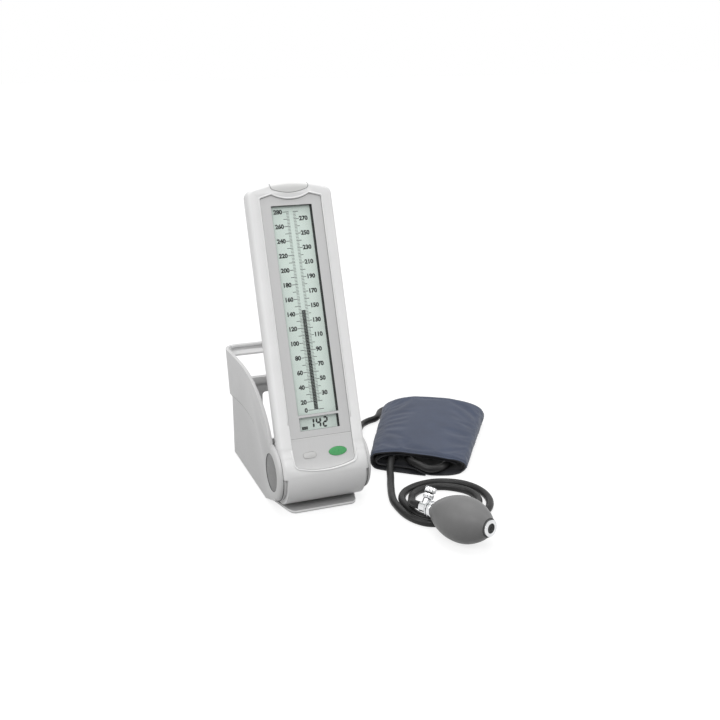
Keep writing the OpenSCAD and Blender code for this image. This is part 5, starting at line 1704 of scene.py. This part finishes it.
@dataclass
class Cuff:
    """The rolled arm cuff: one padded strip wound into a flat roll. Lengths are in millimetres.

    Attributes:
        at: Middle of its mouth on the table.
        across: Direction across the roll.
        along: Direction of its axis.
        width: The strip's width, which is the roll's length.
        mouth: Half the roll's breadth at its mouth.
        back: The same at its back end.
        drawn: The mouth that the line is drawn for.
        half: Half the strip's thickness.
        line: Middle line from the outer end inwards: lateral place, and height at the mouth and the back.
        lower_bulge: How far the lower ply stands out of the mouth, by lateral place.
        upper_bulge: The same of the upper ply.
        lower_share: How much of the first holds, by point of the line.
        upper_share: The same of the second.
        hem: Width of the sewn edge.
        rows: Faces across the strip.
        fine: Rows of faces for each stretch of the line.
        seam_row: Row of faces where the cover's painted shade on the right side starts.
        lining_ends: Points of the line before and after which the outer face takes the near-black lining,
            as painted shade inside and under the roll.
        fold_ends: Points between which the cloth has folds.
        top_ends: Points between which the cloth may swell most.
        seams: Points that a seam holds back.
        inner_from: Point from which the strip stays as it lies.
        lying: Height below which it does too.
        cloth: Settings of the cloth simulation.
        caps: How far it may move the strip's outer face on top, and the rest.
        seam_hold: How much a seam holds back.
        swell: Share of the simulated move that is kept.
    """

    at: Flat = (128.0, 30.5)
    across: Flat = (0.888, -0.46)
    along: Flat = (0.521, 0.854)
    width: float = 150.0
    mouth: float = 54.0
    back: float = 64.0
    drawn: float = 54.0
    half: float = 1.8
    line: tuple[Point, ...] = (
        (10, 0.9, 0.9), (-12, 1.8, 1.8), (-26, 1.8, 1.8), (-42, 1.8, 1.8), (-48, 2.6, 2.8),
        (-51.4, 5.6, 6.4), (-52.4, 10, 11), (-51.8, 14.2, 16), (-49.2, 17.4, 20.4), (-44, 19.2, 24.6),
        (-34, 20.6, 29.2), (-22, 21.4, 31.6), (-10, 21, 32.2), (4, 19.8, 31.8), (18, 18.6, 30.6),
        (31, 17.2, 28.2), (42, 15.6, 24.4), (48.8, 13, 19.8), (52, 9.6, 13.8), (51.6, 5.4, 7.4),
        (48.6, 2.5, 3), (43, 1.8, 1.8), (30, 1.8, 1.8), (16, 1.8, 1.8), (8.5, 3.1, 3.1), (2, 5.4, 5.4),
        (-5, 6.2, 6.2), (-22, 6.2, 6.2), (-38, 6.2, 6.2), (-43.4, 6.8, 6.8), (-46.2, 8.7, 8.6),
        (-45.6, 11, 10.8), (-42, 14, 14.5), (-35, 16.9, 20), (-25, 18.3, 26), (-13, 18.4, 28.4),
        (0, 17.6, 28.4), (14, 16.4, 27.4), (27, 14.9, 25.2), (37, 13, 21.8), (42.6, 10.6, 17))
    lower_bulge: tuple[Flat, ...] = (
        (-54, 0), (-44, 3.3), (-32, 6.7), (-20, 9.4), (-7, 11.7), (5, 12.8), (17, 12.9), (27, 12.3),
        (35, 11), (42, 8), (47, 4.6), (52, 1.2), (56, 0))
    upper_bulge: tuple[Flat, ...] = (
        (-54, 0), (-18, 0), (-4, 0.9), (16, 2.7), (34, 3.4), (46, 1.5), (54, 0))
    lower_share: tuple[Flat, ...] = (
        (0, 1), (4, 1), (6, 0), (18.6, 0), (20.4, 1), (24.6, 1), (27, 0.4), (31, 0.12), (33, 0),
        (41, 0))
    upper_share: tuple[Flat, ...] = (
        (0, 0), (7, 0), (9, 1), (17, 1), (19, 0), (32, 0), (35, 0.7), (41, 0.7))
    hem: float = 4.0
    rows: int = 56
    fine: int = 5
    seam_row: int = 97
    lining_ends: tuple[int, int] = (4, 24)
    fold_ends: tuple[int, int] = (6, 20)
    top_ends: tuple[int, int] = (8, 19)
    seams: tuple[int, int] = (9, 17)
    inner_from: int = 23
    lying: float = 5.2
    cloth: tuple[tuple[str, object], ...] = (
        ("quality", 5), ("mass", 0.2), ("tension_stiffness", 30), ("compression_stiffness", 20),
        ("shear_stiffness", 8), ("bending_stiffness", 0.8), ("use_pressure", True),
        ("uniform_pressure_force", 2.0), ("shrink_min", -0.018), ("vertex_group_mass", "sewn"))
    caps: Flat = (2.2, 0.9)
    seam_hold: float = 0.85
    swell: float = 0.75

    def flat(self, line: Line, i: int, share: float) -> Vector:
        """Lateral place and height of a row of the line at a share of the roll's length.

        Args:
            line: The fine line.
            i: Row along the strip.
            share: Share of the length.

        Returns:
            The place and the height.
        """
        p = line[max(0, min(i, len(line) - 1))]
        wide = (self.mouth + (self.back - self.mouth) * share) / self.drawn
        return Vector((p.x * wide, p.y + (p.z - p.y) * share))

    def spot(self, line: Line, i: int, b: float, off: float) -> Vector:
        """A point on the roll.

        Args:
            line: The fine line.
            i: Row along the strip.
            b: Place along the roll's axis.
            off: Offset from the strip's middle, outwards.

        Returns:
            The point in metres in the part's frame.
        """
        lowest, fold_reach, fold_power = 0.05, 60.0, 1.5
        share = b / self.width
        here = self.flat(line, i, share)
        run = (self.flat(line, i + 1, share) - self.flat(line, i - 1, share)).normalized()
        here = here + off * Vector((-run.y, run.x))
        here.y = max(here.y, lowest)
        fade = max(0.0, 1.0 - b / fold_reach) ** fold_power
        t = i / self.fine
        b -= fade * (between(self.lower_bulge, here.x) * between(self.lower_share, t)
                     + between(self.upper_bulge, here.x) * between(self.upper_share, t))
        return Vector((self.at[0] + here.x * self.across[0] + b * self.along[0],
                       self.at[1] + here.x * self.across[1] + b * self.along[1], here.y)) * MM

    def build(self, shop: Workshop) -> None:
        """Builds the padded strip, its stitches and what lies inside it.

        Args:
            shop: The workshop.
        """
        strip = self.strip(shop)
        self.fill(strip)
        self.crease(strip)
        soften(strip.data, 60.0)
        shop.seat(strip, Body.STAND, "cuff_cloth", "cuff_cover", "cuff_lining", "cuff_bladder")
        self.stitches(shop, strip)
        shop.dress(Finish.HOOKS, "hook_patch")
        shop.dress(Finish.HOSE, "bladder_nipples")

    def where(self, strip: Piece, k: int) -> tuple[int, int, bool]:
        """Row, column and whether it is on the outer face, of a corner of the strip.

        Args:
            strip: The strip.
            k: The corner's number.

        Returns:
            All three.
        """
        cols = self.rows + 1
        size = len(strip.data.vertices) // 2
        return k % size // cols, k % cols, k < size

    def strip(self, shop: Workshop) -> Piece:
        """The closed strip with its cover outside and its lining inside, before it is filled.

        Args:
            shop: The workshop.

        Returns:
            The strip, not yet riding.
        """
        line = smooth_path(self.line, self.fine)
        rows, cols = len(line), self.rows + 1
        lengths = [0.0]
        for a, b in zip(line, line[1:]):
            lengths.append(lengths[-1] + (b - a).length * MM)
        thinning, hem_share, end_rows = ((0, 1), (30, 1), (33, 0.36), (41, 0.36)), 0.45, 3.0
        points: list[Vector] = []
        for side in (1.0, -1.0):
            for i in range(rows):
                for j in range(cols):
                    b = self.width * j / self.rows
                    edge = min(1.0, min(b, self.width - b) / self.hem)
                    end = min(1.0, min(i, rows - 1 - i) / end_rows)
                    swell = math.sqrt(max(0.0, min(edge, end)))
                    thick = self.half * (hem_share + (1 - hem_share) * swell)
                    thick *= between(thinning, i / self.fine)
                    points.append(self.spot(line, i, b, side * thick))
        size = rows * cols
        faces: list[tuple[int, ...]] = []
        sides: list[int] = []
        for i in range(rows - 1):
            for j in range(cols - 1):
                a = i * cols + j
                faces += [(a, a + 1, a + cols + 1, a + cols),
                          (size + a, size + a + cols, size + a + cols + 1, size + a + 1)]
                sides += [self.cloth_of(i), 1]
        for i in range(rows - 1):
            a, b = i * cols, i * cols + cols - 1
            faces += [(a, a + cols, size + a + cols, size + a), (b, size + b, size + b + cols, b + cols)]
            sides += [1, self.cloth_of(i)]
        for j in range(cols - 1):
            a = (rows - 1) * cols + j
            faces += [(j, size + j, size + j + 1, j + 1), (a, a + 1, size + a + 1, size + a)]
            sides += [0, 0]
        mesh = bpy.data.meshes.new("cuff_roll")
        mesh.from_pydata([tuple(p) for p in points], [], faces)
        mesh.polygons.foreach_set("material_index", sides)
        layer = mesh.uv_layers.new(name="cloth")
        for loop in mesh.loops:
            k = loop.vertex_index % size
            layer.data[loop.index].uv = (lengths[k // cols], self.width * MM * (k % cols) / self.rows)
        outward(mesh)
        return shop.link("cuff_roll", mesh, Finish.COVER, Finish.LINING, Finish.BINDING)

    def cloth_of(self, i: int) -> int:
        """Which cloth the outer face has at a row: cover, the near-black lining as painted shade inside and
        under the roll, or the cover darkened as painted shade on the right side that turns down.

        Args:
            i: The row.

        Returns:
            Number of the material slot.
        """
        if not self.lining_ends[0] * self.fine <= i < self.lining_ends[1] * self.fine:
            return 1
        return 2 if i >= self.seam_row else 0

    def fill(self, strip: Piece) -> None:
        """Blows the strip up a little between its sewn edges, as cloth.

        Args:
            strip: The strip.
        """
        rest = [v.co.copy() for v in strip.data.vertices]
        last = len(rest) // (2 * (self.rows + 1)) - 1
        pins = strip.vertex_groups.new(name="sewn")
        held: list[float] = []
        for k, spot in enumerate(rest):
            i, j, _ = self.where(strip, k)
            b = self.width * j / self.rows
            sewn = b <= self.hem or b >= self.width - self.hem or i in (0, last)
            seam = i in [point * self.fine for point in self.seams]
            laid = spot.z < self.lying * MM or i > self.inner_from * self.fine
            held.append(1.0 if sewn or laid else (self.seam_hold if seam else 0.0))
            if held[-1]:
                pins.add([k], held[-1], "REPLACE")
        cloth = strip.modifiers.new("fill", "CLOTH")
        for name, value in self.cloth:
            setattr(cloth.settings, name, value)
        cloth.settings.effector_weights.gravity = 0
        cloth.collision_settings.use_collision = False
        cloth.point_cache.frame_start, cloth.point_cache.frame_end = 1, 16
        scene = bpy.context.scene
        for frame in range(1, 17):
            scene.frame_set(frame)
        graph = bpy.context.evaluated_depsgraph_get()
        moved = [v.co.copy() for v in strip.evaluated_get(graph).data.vertices]
        strip.modifiers.clear()
        scene.frame_set(1)
        for k, (start, end) in enumerate(zip(rest, moved)):
            i, _, outer = self.where(strip, k)
            top = outer and self.top_ends[0] * self.fine < i < self.top_ends[1] * self.fine
            cap = self.caps[0 if top else 1] * MM
            step = end - start
            if step.length > cap:
                step *= cap / step.length
            strip.data.vertices[k].co = start + step * (1.0 - held[k]) * self.swell
        strip.vertex_groups.clear()
        strip.data.update()

    def crease(self, strip: Piece) -> None:
        """Adds the soft folds of the cloth near the mouth and over the top.

        Args:
            strip: The strip.
        """
        first, last = (point * self.fine for point in self.fold_ends)
        mouth_reach, run_in, broad, small, far_share = 45.0, 12.0, 0.9, 0.35, 0.35
        for k, vertex in enumerate(strip.data.vertices):
            i, j, _ = self.where(strip, k)
            if not first < i < last:
                continue
            b = self.width * j / self.rows
            near = math.exp(-b / mouth_reach)
            spot = Vector((i * 0.05, b * 0.016, 3.1))
            lift = noise.noise(spot) * broad + noise.noise(spot * 2.7) * small * near
            fade = min(1.0, (i - first) / run_in, (last - i) / run_in)
            vertex.co.z += lift * fade * (far_share + (1 - far_share) * near) * MM
        strip.data.update()

    def stitches(self, shop: Workshop, strip: Piece) -> None:
        """Thread along both hems and along the seam at the right fold, where the painted shade of the right
        side starts, on the finished cloth.

        Args:
            shop: The workshop.
            strip: The finished strip.
        """
        pitch, length, radius, raised = 0.0024, 0.0019, 0.00022, 0.00012

        def on(i: int, j: int) -> Vector:
            """A place just above the cloth."""
            vertex = strip.data.vertices[i * (self.rows + 1) + j]
            return vertex.co + vertex.normal * raised

        top = range(self.fold_ends[0] * self.fine, self.seam_row - 2)
        paths = [[on(i, j) for i in top] for j in (1, self.rows - 1)]
        paths.append([on(self.seam_row - 2, j) for j in range(2, self.rows - 1)])
        piece = StitchLine.make(shop, "hem_stitches", paths, pitch, length, radius, Finish.THREAD)
        shop.seat(piece, Body.STAND, "cuff_cloth")


# Run


def corners(pair: tuple[Vector, Vector]) -> list[list[float]]:
    """Two corners as plain lists of numbers."""
    return [[float(x) for x in corner] for corner in pair]


def main() -> None:
    """Builds the whole scene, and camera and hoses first."""
    logging.basicConfig(level=logging.INFO, format="%(message)s")
    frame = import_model()
    shop = Workshop(frame["nodes"])
    PhotoView().build()
    Hoses().build(shop)
    Studio().build()
    for part in (Stand(), Column(), Bulb(), Cuff()):
        part.build(shop)
    LOG.info("%d pieces", shop.count)


if __name__ == "__main__":
    main()
